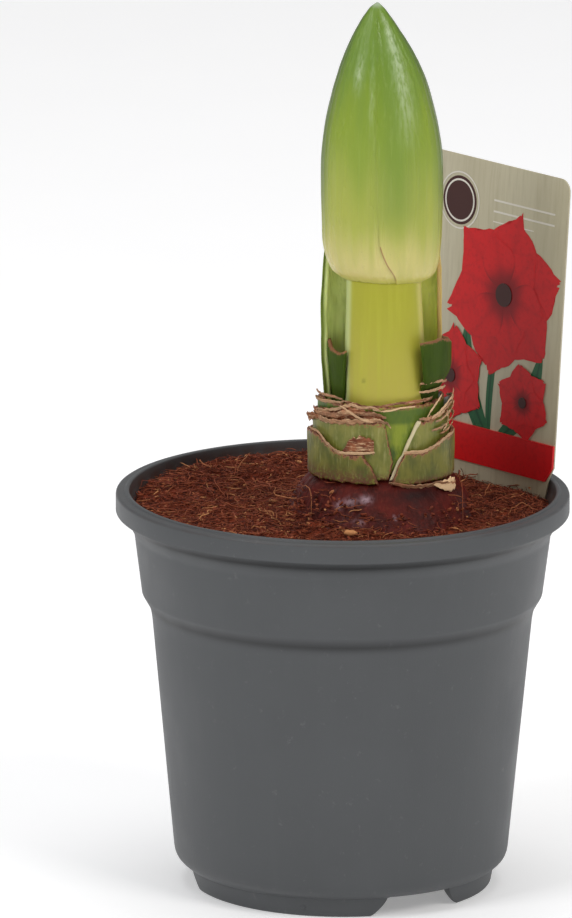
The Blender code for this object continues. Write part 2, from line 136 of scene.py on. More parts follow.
# Bulb, and its outline: radius, height
BULB_FLATNESS = 0.95
BULB_COLUMNS = 200
BULB_LOW, BULB_HIGH = box_mm("bulb")
BULB_OUTLINE = (
    (0.0, BULB_HIGH.z), (7.0, 118.8), (13.0, 116.9), (17.0, 115.0), (19.8, 112.8), (22.4, 109.6),
    (24.8, 104.0), (29.8, 94.0), (33.0, 80.0), (30.6, 64.0), (23.0, 51.5), (14.5, 45.6),
    (0.0, BULB_LOW.z),
)

# Scape
SCAPE_LOW, SCAPE_HIGH = box_mm("scape")
SCAPE_Y = -14.0
SCAPE_FLATNESS = 0.78
SCAPE_POWER = 2 / 2.35
SCAPE_COLUMNS = 120
SCAPE_ROWS = 80

# Bud outline: height, left x, right x
BUD_TIP_HEIGHT = box_mm("spathe_left")[1].z
BUD_FLATNESS = 0.70
VALVE_COLUMNS = 96
VALVE_ROWS = 170
BUD_OUTLINE = (
    (167.2, 1.0, 21.4), (168.0, -0.7, 22.9), (169.4, -2.7, 24.0), (171.6, -4.1, 24.8),
    (176.3, -5.5, 25.4), (182.8, -5.9, 25.7), (192.5, -6.2, 25.9), (202.2, -6.0, 25.6),
    (208.7, -5.3, 24.6), (215.1, -4.0, 23.1), (221.6, -2.3, 21.1), (228.1, -0.1, 18.1),
    (234.5, 2.8, 14.2), (238.6, 5.2, 11.4), (240.8, 7.0, 9.6), (BUD_TIP_HEIGHT, 8.1, 8.7),
)
# The bud's front seam: height, x
BUD_SEAM = ((167.0, 13.8), (169.5, 13.4), (173.5, 11.2), (178.0, 9.5), (183.0, 9.0), (241.6, 8.4))

# Lengthwise folds of the bud: angle, half width in degrees, share of the relief
BUD_FOLDS = ((-22, 9, 0.6), (7, 7, -1.0), (24, 8, 0.8), (44, 12, -0.4))

# Plant label
LABEL_X = 37.0
LABEL_Y = 32.5
LABEL_FIX_HEIGHT = 110.0
LABEL_YAW = math.radians(48.5)
LABEL_LEAN = math.radians(3.8)
LABEL_HALF_WIDTH = 29.0
LABEL_THICKNESS = 0.5
LABEL_TOP = 77.8
LABEL_CORNER = 3.5
LABEL_SHOULDER_DROP = 32.0
LABEL_STAKE_HALF_WIDTH = 7.0
LABEL_TIP_DROP = 62.0

# The point that the lights face, and the one that the camera looks at from this distance
LIGHT_TARGET = Vector((0.0, 0.0, 0.1))
CAMERA_TARGET = Vector((-0.01508, 0.0, 0.11494))
CAMERA_DISTANCE = 4.0
CAMERA_ELEVATION = math.radians(13.6)
CAMERA_ROLL = math.radians(0.24)
CAMERA_SENSOR = 36.0
CAMERA_LENS = 591.8

# The backdrop's flat radius and the radius of its turned-up edge, in metres
BACKDROP_RADIUS = 5.0
BACKDROP_EDGE = 1.1
BACKDROP_COLUMNS = 96


def srgb(red, green, blue):
    """Linear colour of a screen colour given from 0 to 255."""
    parts = (value / 255 for value in (red, green, blue))
    return tuple(p / 12.92 if p <= 0.04045 else ((p + 0.055) / 1.055) ** 2.4 for p in parts)


def a_colour(about, red, green, blue):
    """A colour that the user can change, from screen values."""
    return FloatVectorProperty, {
        "description": about, "subtype": "COLOR", "min": 0.0, "max": 1.0, "default": srgb(red, green, blue)}


def an_amount(about, value, **unit):
    """A number that the user can change."""
    return FloatProperty, {"description": about, "default": value, "min": 0.0, **unit}


def a_length(about, millimetres):
    """A length that the user can change, kept in metres."""
    return an_amount(about, millimetres * MM, unit="LENGTH", precision=5)


def a_count(about, number, least=0):
    """A whole number that the user can change."""
    return IntProperty, {"description": about, "default": number, "min": least}


# Numbers and curves

def smooth(low, high, value):
    """Go smoothly from 0 at low to 1 at high."""
    t = np.clip((np.asarray(value, float) - low) / (high - low), 0.0, 1.0)
    return t * t * (3.0 - 2.0 * t)


def hump(value, middle, width):
    """A bell of height 1 at the middle."""
    return np.exp(-((np.asarray(value, float) - middle) / width) ** 2)


def curve_through(knots, values, x):
    """Read a smooth curve through the values at the knots, at the places x."""
    knots = np.asarray(knots, float)
    values = np.asarray(values, float)
    x = np.clip(x, knots[0], knots[-1])
    slopes = np.gradient(values, knots)
    i = np.clip(np.searchsorted(knots, x) - 1, 0, len(knots) - 2)
    step = knots[i + 1] - knots[i]
    t = (x - knots[i]) / step
    start = (1 + 2 * t) * (1 - t) ** 2 * values[i] + t * (1 - t) ** 2 * step * slopes[i]
    end = t * t * (3 - 2 * t) * values[i + 1] + t * t * (t - 1) * step * slopes[i + 1]
    return start + end


def table(pairs, x):
    """Read a list of (place, value) pairs along straight lines."""
    places, values = zip(*sorted(pairs))
    return np.interp(x, places, values)


def wobble(points, size, octaves=2, seed=0):
    """Noise between about -1 and 1 at each point, with lumps of the given size."""
    flat = np.asarray(points, float).reshape(-1, 3) / size + seed * 17.31
    values = [noise.fractal(Vector(p), 1.0, 2.0, octaves) for p in flat]
    return np.array(values).reshape(np.shape(points)[:-1])


def field(columns, rows):
    """Two grids that run from 0 to 1 across and up."""
    return np.meshgrid(np.linspace(0, 1, columns), np.linspace(0, 1, rows))


def xyz(x, y, z):
    """Points from grids of their coordinates."""
    return np.stack(np.broadcast_arrays(x, y, z), axis=-1)


def mirrored(right):
    """A closed outline from its right half, which is listed from one end to the other."""
    return right + [(-x, y) for x, y in reversed(right)]


def whole_turn(steps):
    """Angles once around, in degrees."""
    return np.linspace(0, 360, steps, endpoint=False)


def around(angle, radius, height, flatness=1.0, centre=(PLANT_X, PLANT_Y)):
    """Points at angles in degrees on oval rings round a vertical axis."""
    turn = np.radians(angle)
    return xyz(centre[0] + radius * np.sin(turn), centre[1] - radius * np.cos(turn) * flatness, height)


# Meshes

def grid_faces(rows, columns, wrap):
    """Four-sided faces of a grid of points, closed around if wrap is set."""
    faces = []
    for i in range(rows - 1):
        for j in range(columns if wrap else columns - 1):
            k = (j + 1) % columns
            faces.append((i * columns + j, i * columns + k, (i + 1) * columns + k, (i + 1) * columns + j))
    return faces


def prism(first, second):
    """Points and faces of a solid between two outlines with as many points."""
    count = len(first)
    faces = [(i, (i + 1) % count, (i + 1) % count + count, i + count) for i in range(count)]
    faces += [tuple(range(count)), tuple(range(count, 2 * count))]
    return np.concatenate([first, second]), faces


def add_object(name, data):
    """A new object in the scene."""
    obj = bpy.data.objects.new(name, data)
    bpy.context.scene.collection.objects.link(obj)
    return obj


def new_mesh(name, points, faces, fields):
    """A mesh with its fields as attributes, from points in millimetres."""
    mesh = bpy.data.meshes.new(name)
    mesh.from_pydata((np.asarray(points) * MM).tolist(), [], faces)
    for key, values in fields.items():
        attribute = mesh.attributes.new(key, "FLOAT", "POINT")
        attribute.data.foreach_set("value", np.asarray(values, np.float32).ravel())
    return mesh


def new_piece(name, material, points, faces, fields):
    """A smooth mesh object whose faces point outwards."""
    mesh = new_mesh(name, points, faces, fields)
    bm = bmesh.new()
    bm.from_mesh(mesh)
    bmesh.ops.recalc_face_normals(bm, faces=bm.faces)
    bm.to_mesh(mesh)
    bm.free()
    mesh.shade_smooth()
    mesh.materials.append(material)
    return add_object(name, mesh)


def closed_skin(rings, fields=None):
    """Points, faces and fields of a solid whose skin runs over rings, with a pole at each end."""
    rows, columns = rings.shape[:2]
    count = rows * columns
    poles = np.stack([rings[0].mean(axis=0), rings[-1].mean(axis=0)])
    points = np.concatenate([rings.reshape(-1, 3), poles])
    faces = grid_faces(rows, columns, True)
    last = count - columns
    for j in range(columns):
        k = (j + 1) % columns
        faces.append((count, k, j))
        faces.append((count + 1, last + j, last + k))
    made = {}
    for key, values in (fields or {}).items():
        values = np.broadcast_to(values, (rows, columns))
        made[key] = np.concatenate([values.ravel(), [values[0].mean(), values[-1].mean()]])
    return points, faces, made


def sheet(middle, thickness, fields=None):
    """Points, faces and fields of a thin closed sheet. The field inner is 1 on its back."""
    rows, columns = middle.shape[:2]
    normal = np.cross(np.gradient(middle, axis=1), np.gradient(middle, axis=0))
    normal /= np.linalg.norm(normal, axis=2, keepdims=True) + 1e-9
    taper = np.ones((rows, columns))
    taper[[0, -1], :] = 0.35
    taper[:, [0, -1]] = 0.35
    offset = normal * (taper * thickness / 2)[..., None]
    points = np.concatenate([(middle + offset).reshape(-1, 3), (middle - offset).reshape(-1, 3)])
    count = rows * columns
    front = grid_faces(rows, columns, False)
    back = [(d + count, c + count, b + count, a + count) for a, b, c, d in front]
    border = list(range(columns))
    border += [i * columns + columns - 1 for i in range(1, rows)]
    border += [count - 1 - j for j in range(1, columns)]
    border += [(rows - 1 - i) * columns for i in range(1, rows - 1)]
    sides = [(b, a, a + count, b + count) for a, b in zip(border, border[1:] + border[:1])]
    made = {"inner": np.concatenate([np.zeros(count), np.ones(count)])}
    for key, values in (fields or {}).items():
        flat = np.broadcast_to(values, (rows, columns)).ravel()
        made[key] = np.concatenate([flat, flat])
    return points, front + back + sides, made


def joined(parts):
    """One set of points, faces and shared fields from several."""
    faces = []
    start = 0
    for points, part_faces, _ in parts:
        faces += [tuple(i + start for i in face) for face in part_faces]
        start += len(points)
    shared = set.intersection(*(set(fields) for _, _, fields in parts))
    fields = {key: np.concatenate([part[2][key] for part in parts]) for key in sorted(shared)}
    return np.concatenate([points for points, _, _ in parts]), faces, fields


def finish_piece(obj, slot, *nodes):
    """Let a piece ride on the object's body and stand for nodes of the packed model."""
    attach(obj, "root")
    if nodes:
        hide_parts(*nodes)


def bake_modifiers(obj):
    """Turn an object's modifiers into its plain mesh."""
    bpy.context.view_layer.update()
    evaluated = obj.evaluated_get(bpy.context.evaluated_depsgraph_get())
    mesh = bpy.data.meshes.new_from_object(evaluated)
    obj.modifiers.clear()
    obj.data = mesh


def carve(obj, cutters):
    """Cut one mesh object out of another and remove it."""
    boolean = obj.modifiers.new("carve", "BOOLEAN")
    boolean.operation = "DIFFERENCE"
    boolean.solver = "EXACT"
    boolean.object = cutters
    bake_modifiers(obj)
    bpy.data.objects.remove(cutters, do_unlink=True)


# Nodes and materials

class NodeBuilder:
    """Adds nodes to a tree."""

    def __init__(self, tree):
        self.tree = tree

    def node(self, kind, inputs=None, **settings):
        """Add a node, with values or links on its inputs."""
        made = self.tree.nodes.new(kind)
        for key, value in settings.items():
            setattr(made, key, value)
        for key, value in (inputs or {}).items():
            if isinstance(value, bpy.types.NodeSocket):
                self.tree.links.new(value, made.inputs[key])
            else:
                made.inputs[key].default_value = value
        return made

    def math(self, operation, first, second=0.0):
        """One sum."""
        return self.node("ShaderNodeMath", {0: first, 1: second}, operation=operation).outputs[0]

    def times(self, first, second):
        """One value times another."""
        return self.math("MULTIPLY", first, second)


class Finish(NodeBuilder):
    """One procedural material: a first colour, and coats of others over it."""

    def __init__(self, name, colour, roughness, gloss, **surface):
        self.material = bpy.data.materials.new(name)
        self.material.use_nodes = True
        super().__init__(self.material.node_tree)
        self.colour = colour
        self.shader = self.tree.nodes["Principled BSDF"]
        surface.update(Roughness=roughness, Specular_IOR_Level=gloss)
        for socket, value in surface.items():
            self.shader.inputs[socket.replace("_", " ")].default_value = value
        self.place = self.node("ShaderNodeTexCoord").outputs["Object"]

    def noise(self, size, detail=3.0, roughness=0.5, stretch=(1, 1, 1), twist=0.0):
        """Noise from 0 to 1, with lumps of the given size in millimetres."""
        mapping = self.node("ShaderNodeMapping", {"Vector": self.place, "Scale": stretch})
        return self.node("ShaderNodeTexNoise", {
            "Vector": mapping.outputs["Vector"], "Scale": 1 / (size * MM), "Detail": detail,
            "Roughness": roughness, "Distortion": twist}).outputs["Fac"]

    def attribute(self, name):
        """One of the mesh's own fields."""
        return self.node("ShaderNodeAttribute", attribute_name=name).outputs["Fac"]

    def height(self):
        """Height above the ground, in millimetres."""
        return self.times(self.node("ShaderNodeSeparateXYZ", {0: self.place}).outputs["Z"], 1 / MM)

    def ramp(self, value, low, high, bottom=0.0, top=1.0):
        """Go smoothly from bottom at low to top at high."""
        return self.node("ShaderNodeMapRange", {
            "Value": value, "From Min": low, "From Max": high, "To Min": bottom, "To Max": top,
        }, interpolation_type="SMOOTHSTEP").outputs["Result"]

    def coat(self, colour, amount, *limits):
        """Lay a colour over the last by an amount, a field's name for one, or by its ramp."""
        if isinstance(amount, str):
            amount = self.attribute(amount)
        if limits:
            amount = self.ramp(amount, *limits)
        under = self.colour if isinstance(self.colour, bpy.types.NodeSocket) else (*self.colour, 1.0)
        made = self.node("ShaderNodeMix", {0: amount, 6: under, 7: (*colour, 1.0)}, data_type="RGBA")
        self.colour = made.outputs[2]

    def done(self, *layers, roughness=None):
        """The material, raised by layers of (height from 0 to 1, depth in millimetres)."""
        links = {"Base Color": self.colour}
        if roughness is not None:
            links["Roughness"] = roughness
        for height, depth in layers:
            inputs = {"Height": height, "Distance": depth * MM, "Strength": 1.0}
            if "Normal" in links:
                inputs["Normal"] = links["Normal"]
            links["Normal"] = self.node("ShaderNodeBump", inputs).outputs["Normal"]
        for socket, value in links.items():
            self.tree.links.new(value, self.shader.inputs[socket])
        return self.material


def living(name, colour, roughness, gloss, glow, depth=3.0, radius=(0.8, 1.0, 0.3)):
    """A finish for living tissue, which lets a share of the light in."""
    return Finish(name, colour, roughness, gloss, Subsurface_Weight=glow,
                  Subsurface_Scale=depth * MM, Subsurface_Radius=radius)


def pot_plastic(settings):
    """Matte grey plastic with a fine grain, faint flow lines and a little dust."""
    finish = Finish("pot_plastic", settings.colour, 0.5, 0.4)
    cloud = finish.noise(26.0)
    flow = finish.noise(5.0, stretch=(1, 1, 0.12))
    grain = finish.noise(0.28, 2.0)
    dust = finish.ramp(finish.noise(4.0), 0.3, 0.7, 0.2, 0.8)
    finish.coat(settings.light, cloud, 0.3, 0.7, 0.0, 0.4)
    finish.coat(settings.light, flow, 0.5, 0.8, 0.0, 0.15)
    finish.coat(settings.dust, grain, 0.62, 0.8, 0.0, 0.16)
    finish.coat(settings.dust, finish.noise(3.0, 5.0, 0.7), 0.62, 0.72, 0.0, 0.25)
    # Painted shade: dark lines under the lip and below the band step
    finish.coat(settings.groove, "groove")
    finish.coat(settings.soil, finish.times(finish.attribute("inside"), dust))
    return finish.done((flow, 0.05), (grain, 0.03), roughness=finish.ramp(cloud, 0.3, 0.7, 0.42, 0.56))


def coir_ground(settings):
    """Damp coir pith: lumps of red brown with dark pits."""
    finish = Finish("coir_ground", settings.pit, 0.95, 0.15)
    lumps = finish.noise(3.2, 5.0, 0.65, twist=0.4)
    strands = finish.noise(1.2, 4.0, 0.6, (0.35, 1, 1), 1.5)
    across = finish.noise(1.2, 4.0, 0.6, (1, 0.35, 1), 1.5)
    finish.coat(settings.coir, lumps, 0.38, 0.66)
    finish.coat(settings.fibre, strands, 0.56, 0.74, 0.0, 0.6)
    finish.coat(settings.coir, across, 0.58, 0.76, 0.0, 0.5)
    return finish.done((lumps, 0.8), (strands, 0.4), (across, 0.4))


def coir_fibre(settings):
    """Coir fibres that go from dark red brown to gold, each in its own shade."""
    finish = Finish("coir_fibre", settings.pit, 0.7, 0.3)
    finish.coat(settings.coir, "shade", 0.0, 0.55)
    finish.coat(settings.fibre, "shade", 0.45, 0.85)
    finish.coat(settings.gold, "shade", 0.93, 1.0)
    finish.coat(settings.pit, finish.noise(1.4), 0.45, 0.75, 0.0, 0.5)
    return finish.done((finish.noise(0.25, 2.0), 0.05))


def bulb_tunic(settings):
    """Dark maroon papery scales, glossy where they are taut."""
    finish = Finish("bulb_tunic", settings.dark, 0.4, 0.14)
    veins = finish.noise(1.1, 4.0, 0.6, (1, 1, 0.12), 0.3)
    patches = finish.noise(7.0, 4.0, 0.6, (1, 1, 0.6))
    finish.coat(settings.colour, patches, 0.35, 0.65)
    finish.coat(settings.vein, veins, 0.45, 0.75, 0.0, 0.55)
    finish.coat(settings.dust, finish.noise(1.6, 5.0, 0.7), 0.58, 0.7, 0.0, 0.55)
    # Painted highlights: pale patches at fixed places on the tunic
    finish.coat(settings.pale, finish.times(finish.attribute("pale"), finish.ramp(veins, 0.3, 0.6)))
    # Painted shadow in the hollow under the bottom curl
    finish.coat(settings.hollow, "hollow")
    return finish.done((patches, 0.4), (veins, 0.22), roughness=finish.ramp(patches, 0.3, 0.7, 0.34, 0.58))


def dry_paper(settings):
    """Dead sheath tissue: crinkled brown paper with pale fibres."""
    finish = Finish("dry_paper", settings.paper_deep, 0.6, 0.2)
    grain = finish.noise(0.5, 4.0, 0.65, (0.22, 0.22, 1), 0.5)
    patches = finish.noise(2.0, 4.0, 0.6, (0.6, 0.6, 1))
    finish.coat(settings.paper, patches, 0.36, 0.64)
    finish.coat(settings.paper_pale, grain, 0.5, 0.68, 0.0, 0.75)
    finish.coat(settings.paper_pale, "pale")
    return finish.done((patches, 0.3), (grain, 0.14))


def sheath_skin(settings, ring):
    """Living sheath: green with fine fibres and specks, drying to brown at its edges."""
    colour, deep, light = (getattr(settings, ring + part) for part in ("", "_deep", "_light"))
    finish = living(f"sheath_{ring}_skin", deep, 0.45, 0.4, 0.15, 1.5, (0.7, 1.0, 0.35))
    fibre = finish.noise(0.8, 4.0, 0.6, (1, 1, 0.18), 0.3)
    patch = finish.noise(4.2, 3.0, 0.6, (1, 1, 0.5))
    ragged = finish.ramp(finish.noise(0.9, 4.0, 0.7), 0.3, 0.7, -0.6, 0.9)
    edge = finish.math("ADD", finish.attribute("edge"), ragged)
    blotch = finish.ramp(finish.noise(0.8, 4.0, 0.7), 0.4, 0.52)
    finish.coat(colour, patch, 0.36, 0.66)
    finish.coat(light, fibre, 0.5, 0.75, 0.0, 0.6)
    finish.coat(settings.speck, finish.noise(0.7, 3.0, 0.7), 0.62, 0.74, 0.0, 0.65)
    finish.coat(settings.dry, edge, 1.3, 0.5)
    finish.coat(settings.dry_dark, edge, 0.55, 0.15)
    # Dark band on the inner sheath: partly its deeper green, partly painted shade
    finish.coat(settings.shade, "shade")
    finish.coat(settings.dry_dark, finish.times(finish.attribute("foot"), blotch))
    finish.coat(settings.strip, "strip", 0.85, 0.7)
    return finish.done((patch, 0.25), (fibre, 0.12), roughness=finish.ramp(patch, 0.3, 0.7, 0.36, 0.55))


def leaf_skin(settings, name, outside, inside, deep):
    """Leaf: ribbed lengthwise, one colour outside and another inside, brown where it is cut."""
    finish = living(name, outside, 0.6, 0.12, 0.5)
    ribs = finish.noise(0.55, 3.0, 0.55, (1, 1, 0.03))
    cloud = finish.noise(5.0, 3.0, 0.6, (1, 1, 0.35))
    ragged = finish.ramp(finish.noise(0.7, 3.0, 0.6), 0.3, 0.7, -0.25, 0.3)
    # On the tall leaves the inside colour is painted light on faces in shade
    finish.coat(inside, "inner")
    finish.coat(deep, cloud, 0.4, 0.75, 0.0, 0.6)
    finish.coat(deep, ribs, 0.5, 0.8, 0.0, 0.35)
    finish.coat(settings.cut, finish.math("ADD", finish.attribute("edge"), ragged), 0.8, 0.35)
    finish.coat(settings.margin, "margin", 0.75, 0.45)
    return finish.done((ribs, 0.1), (cloud, 0.1))


def scape_skin(settings):
    """Smooth yellow-green stem with faint lengthwise streaks and specks."""
    finish = living("scape_skin", settings.low, 0.42, 0.25, 0.25)
    streak = finish.noise(1.6, 3.0, 0.55, (1, 1, 0.06))
    mottle = finish.noise(0.8, 3.0, 0.6, (1, 1, 0.5))
    finish.coat(settings.colour, finish.height(), 133.0, 166.0)
    finish.coat(settings.streak, streak, 0.45, 0.75, 0.0, 0.4)
    finish.coat(settings.low, mottle, 0.55, 0.8, 0.0, 0.3)
    # A painted highlight on the left edge, painted light on the shaded right edge, then the dark speck
    for name in ("left_edge", "right_edge", "speck"):
        finish.coat(getattr(settings, name), name)
    return finish.done((streak, 0.08), (mottle, 0.03), roughness=finish.ramp(streak, 0.3, 0.7, 0.3, 0.46))


def spathe_skin(settings):
    """Bud valves: dark green at the tip through yellow green to cream at the foot."""
    finish = living("spathe_skin", settings.cream, 0.3, 0.5, 0.2)
    height = finish.height()
    ribs = finish.noise(0.7, 4.0, 0.6, (1, 1, 0.025))
    stripe = finish.noise(5.0, 2.0, 0.5, (1, 1, 0.07))
    cell = finish.noise(0.5, 2.0, 0.5, (1, 1, 0.5))
    shifted = finish.math("ADD", height, finish.ramp(stripe, 0.3, 0.7, -4.0, 4.0))

    def within(name, value, *limits):
        """One of the mesh's fields, times the ramp of a value."""
        return finish.times(finish.attribute(name), finish.ramp(value, *limits))

    finish.coat(settings.yellow, shifted, 168.0, 184.0)
    finish.coat(settings.colour, shifted, 182.0, 206.0)
    finish.coat(settings.tip, shifted, 204.0, 232.0)
    finish.coat(settings.tip, within("middle", height, 176.0, 190.0, 0.0, 0.55))
    finish.coat(settings.rib, ribs, 0.52, 0.8, 0.0, 0.2)
    finish.coat(settings.tip, cell, 0.6, 0.85, 0.0, 0.22)
    # Painted shade on the bud's sides, darker higher up
    finish.coat(settings.keel, within("keel", height, 170.0, 200.0))
    finish.coat(settings.seam, "seam", 0.3, 0.1, 0.0, 0.75)
    finish.coat(settings.foot, height, 170.2, 167.8, 0.0, 0.7)
    finish.coat(settings.point, height, 240.0, 241.4, 0.0, 0.8)
    # Painted highlight: pale streaks on the ridges of the upper bud
    finish.coat(settings.bloom, within("bloom", ribs, 0.32, 0.62, 0.15, 1.0))
    return finish.done((ribs, 0.16), (cell, 0.03), roughness=finish.ramp(stripe, 0.3, 0.7, 0.26, 0.42))


def print_ink(name, colour, deep):
    """Printed ink on a plastic card, with a fine screen and soft tone."""
    finish = Finish(name, deep, 0.32, 0.2)
    finish.coat(colour, "tone", 0.0, 1.0)
    finish.coat(deep, finish.noise(1.2, 4.0, 0.6), 0.45, 0.75, 0.0, 0.3)
    return finish.done((finish.noise(0.4, 2.0), 0.01))


def print_wood(settings):
    """Pale printed wood grain, with fine upright lines."""
    finish = Finish("label_wood", settings.card, 0.34, 0.5)
    grain = finish.noise(1.3, 5.0, 0.65, (1, 1, 0.05), 0.2)
    cloud = finish.noise(16.0, 3.0, 0.5, (1, 1, 0.4))
    finish.coat(settings.card_deep, grain, 0.4, 0.75, 0.0, 0.55)
    finish.coat(settings.card_deep, cloud, 0.4, 0.7, 0.0, 0.35)
    return finish.done((grain, 0.01))


# Settings

def settings_group(title, text, **properties):
    """A group of settings, each called after its key."""
    made = {key: kind(name=key.replace("_", " ").capitalize(), **values)
            for key, (kind, values) in properties.items()}
    return type(title, (PropertyGroup,), {"__doc__": text, "__annotations__": made})


GROUPS = {
    "pot": settings_group(
        "PotSettings", "Sizes and colours of the grow pot",
        steps=a_count("Faces around the pot", 256, 64),
        colour=a_colour("Plastic of the pot", 72, 74, 76),
        light=a_colour("Paler clouds in the plastic", 82, 84, 86),
        dust=a_colour("Grain and scuffs", 112, 113, 114),
        # Colour of the painted shade under the lip and below the band step
        groove=a_colour("Dark lines under the lip and the band", 12, 12, 13),
        soil=a_colour("Coir dust on the inside", 74, 46, 36)),
    "coir": settings_group(
        "CoirSettings", "Sizes and colours of the coir and its fibres",
        lump_height=a_length("How far the coir's lumps stand up", 1.1),
        fibre_length=a_length("Length of a short fibre", 6.0),
        fibre_radius=a_length("Half the thickness of a short fibre", 0.09),
        fibre_count=a_count("How many short fibres", 9000),
        long_length=a_length("Length of a long loose fibre", 17.0),
        long_radius=a_length("Half the thickness of a long fibre", 0.11),
        long_count=a_count("How many long fibres", 260),
        crumb_size=a_length("Half the size of a crumb of pith", 0.6),
        crumb_count=a_count("How many crumbs", 6500),
        coir=a_colour("Most of the coir", 128, 54, 30),
        pit=a_colour("Dark gaps in the coir", 68, 25, 15),
        fibre=a_colour("Lighter fibres", 146, 74, 44),
        gold=a_colour("The palest fibres", 200, 138, 88)),
    "bulb": settings_group(
        "BulbSettings", "Relief and colours of the bulb's tunic",
        ridge=a_length("Relief of the scales' ridges", 0.45),
        colour=a_colour("Tunic", 88, 24, 17),
        dark=a_colour("Deeper tunic", 60, 16, 11),
        vein=a_colour("Lighter veins", 114, 40, 30),
        dust=a_colour("Coir dust", 110, 48, 28),
        # Colour of the painted highlights on the tunic
        pale=a_colour("Worn places", 176, 148, 156),
        hollow=a_colour("Shaded hollow under the curl", 26, 12, 12)),
    "neck": settings_group(
        "NeckSettings", "Torn edges and colours of the sheaths round the neck",
        ragged=a_length("Depth of the torn edges", 0.7),
        outer=a_colour("Outer sheath", 126, 122, 48),
        outer_deep=a_colour("Deeper green of the outer sheath", 90, 94, 28),
        outer_light=a_colour("Fibres of the outer sheath", 158, 152, 88),
        middle=a_colour("Middle sheath", 140, 138, 66),
        middle_deep=a_colour("Deeper green of the middle sheath", 110, 114, 42),
        middle_light=a_colour("Fibres of the middle sheath", 170, 166, 104),
        inner=a_colour("Inner sheath", 138, 152, 42),
        inner_deep=a_colour("Deeper green of the inner sheath", 78, 104, 24),
        inner_light=a_colour("Fibres of the inner sheath", 156, 164, 64),
        speck=a_colour("Specks on the skin", 104, 84, 36),
        # Colour of the inner sheath's dark band: partly its deeper green, partly painted shade
        shade=a_colour("Darkest green", 62, 92, 20),
        dry=a_colour("Dry edges", 158, 104, 70),
        dry_dark=a_colour("Outermost line of the dry edges", 104, 58, 38),
        strip=a_colour("Pale torn strips", 214, 200, 162),
        paper=a_colour("Dead papery tissue", 162, 100, 68),
        paper_deep=a_colour("Folds of the paper", 106, 54, 36),
        paper_pale=a_colour("Pale fibres of the paper", 228, 192, 150)),
    "leaves": settings_group(
        "LeafSettings", "Colours of the tall leaves and the cut leaf bases",
        outside=a_colour("Outer face of a tall leaf", 80, 92, 26),
        # Inner faces of the tall leaves, left and right: their green made paler as painted light where they
        # lie in shade
        inside=a_colour("Inner face of a tall leaf", 214, 224, 150),
        right_inside=a_colour("Inner face of the right leaf", 222, 226, 130),
        deep=a_colour("Deeper green", 130, 146, 62),
        base_outside=a_colour("Cut base", 62, 82, 18),
        base_inside=a_colour("Inner face of a cut base", 54, 76, 16),
        base_deep=a_colour("Deeper green of a cut base", 42, 58, 10),
        cut=a_colour("Dried cut edge", 132, 90, 66),
        margin=a_colour("Tan margin of the right leaf", 190, 160, 104)),
    "scape": settings_group(
        "ScapeSettings", "Colours of the flower stem",
        colour=a_colour("Upper stem", 170, 168, 50),
        low=a_colour("Lower stem", 184, 174, 74),
        streak=a_colour("Lighter streaks", 184, 186, 66),
        # Colours of the painted highlight on the left edge and the painted light on the right edge
        left_edge=a_colour("Pale left edge", 190, 200, 132),
        right_edge=a_colour("Right edge", 196, 188, 104),
        speck=a_colour("Small dark speck", 90, 96, 40)),
    "bud": settings_group(
        "BudSettings", "Relief and colours of the two spathe valves",
        relief=a_length("Depth of the lengthwise folds", 0.35),
        cream=a_colour("Cream foot", 208, 196, 122),
        yellow=a_colour("Yellow green above the foot", 167, 173, 66),
        colour=a_colour("Mid green", 136, 157, 42),
        tip=a_colour("Dark green of the top", 108, 138, 42),
        rib=a_colour("Pale ribs", 176, 194, 112),
        seam=a_colour("Line along the seam", 160, 104, 70),
        # Colour of the painted shade on the bud's sides
        keel=a_colour("Dark sides of the bud", 66, 88, 34),
        point=a_colour("Pale tip", 168, 182, 158),
        foot=a_colour("Lowest edge of the valves", 196, 192, 92),
        # Colour of the painted highlight on the bud's ridges
        bloom=a_colour("Waxy bloom on the ridges", 206, 220, 184)),
    "label": settings_group(
        "LabelSettings", "Colours of the plant label's generic print",
        card=a_colour("Pale wood print", 192, 184, 158),
        card_deep=a_colour("Grain of the wood print", 166, 156, 128),
        red=a_colour("Petals", 206, 24, 28),
        red_deep=a_colour("Petal bases and band", 132, 12, 18),
        green=a_colour("Leaves", 44, 98, 62),
        green_deep=a_colour("Leaf veins", 20, 58, 40),
        brown=a_colour("Dark seal", 66, 34, 30),
        white=a_colour("Rings and rules", 222, 216, 206)),
    "stage": settings_group(
        "StageSettings", "Floor and lights",
        floor=a_colour("Pale floor", 246, 246, 247),
        side_power=an_amount("Power of the two side lights", 15.0, unit="POWER"),
        top_power=an_amount("Power of the light overhead", 12.0, unit="POWER"),
        room_light=an_amount("Strength of the even light", 0.32)),
}


class AmaryllisSettings(PropertyGroup):
    """Every group of settings."""

    __annotations__ = {key: PointerProperty(type=group) for key, group in GROUPS.items()}


# Pot

def rounded(corners, steps=5):
    """Outline through corners of (radius, height, fillet), with each corner rounded."""
    points = []
    for i, (radius, height, fillet) in enumerate(corners):
        corner = np.array((radius, height))
        if not fillet:
            points.append(corner)
            continue
        before = np.array(corners[i - 1][:2]) - corner
        after = np.array(corners[i + 1][:2]) - corner
        start = corner + before * min(fillet / np.linalg.norm(before), 0.48)
        end = corner + after * min(fillet / np.linalg.norm(after), 0.48)
        for t in np.linspace(0, 1, steps):
            points.append((1 - t) ** 2 * start + 2 * t * (1 - t) * corner + t * t * end)
    return np.array(points)


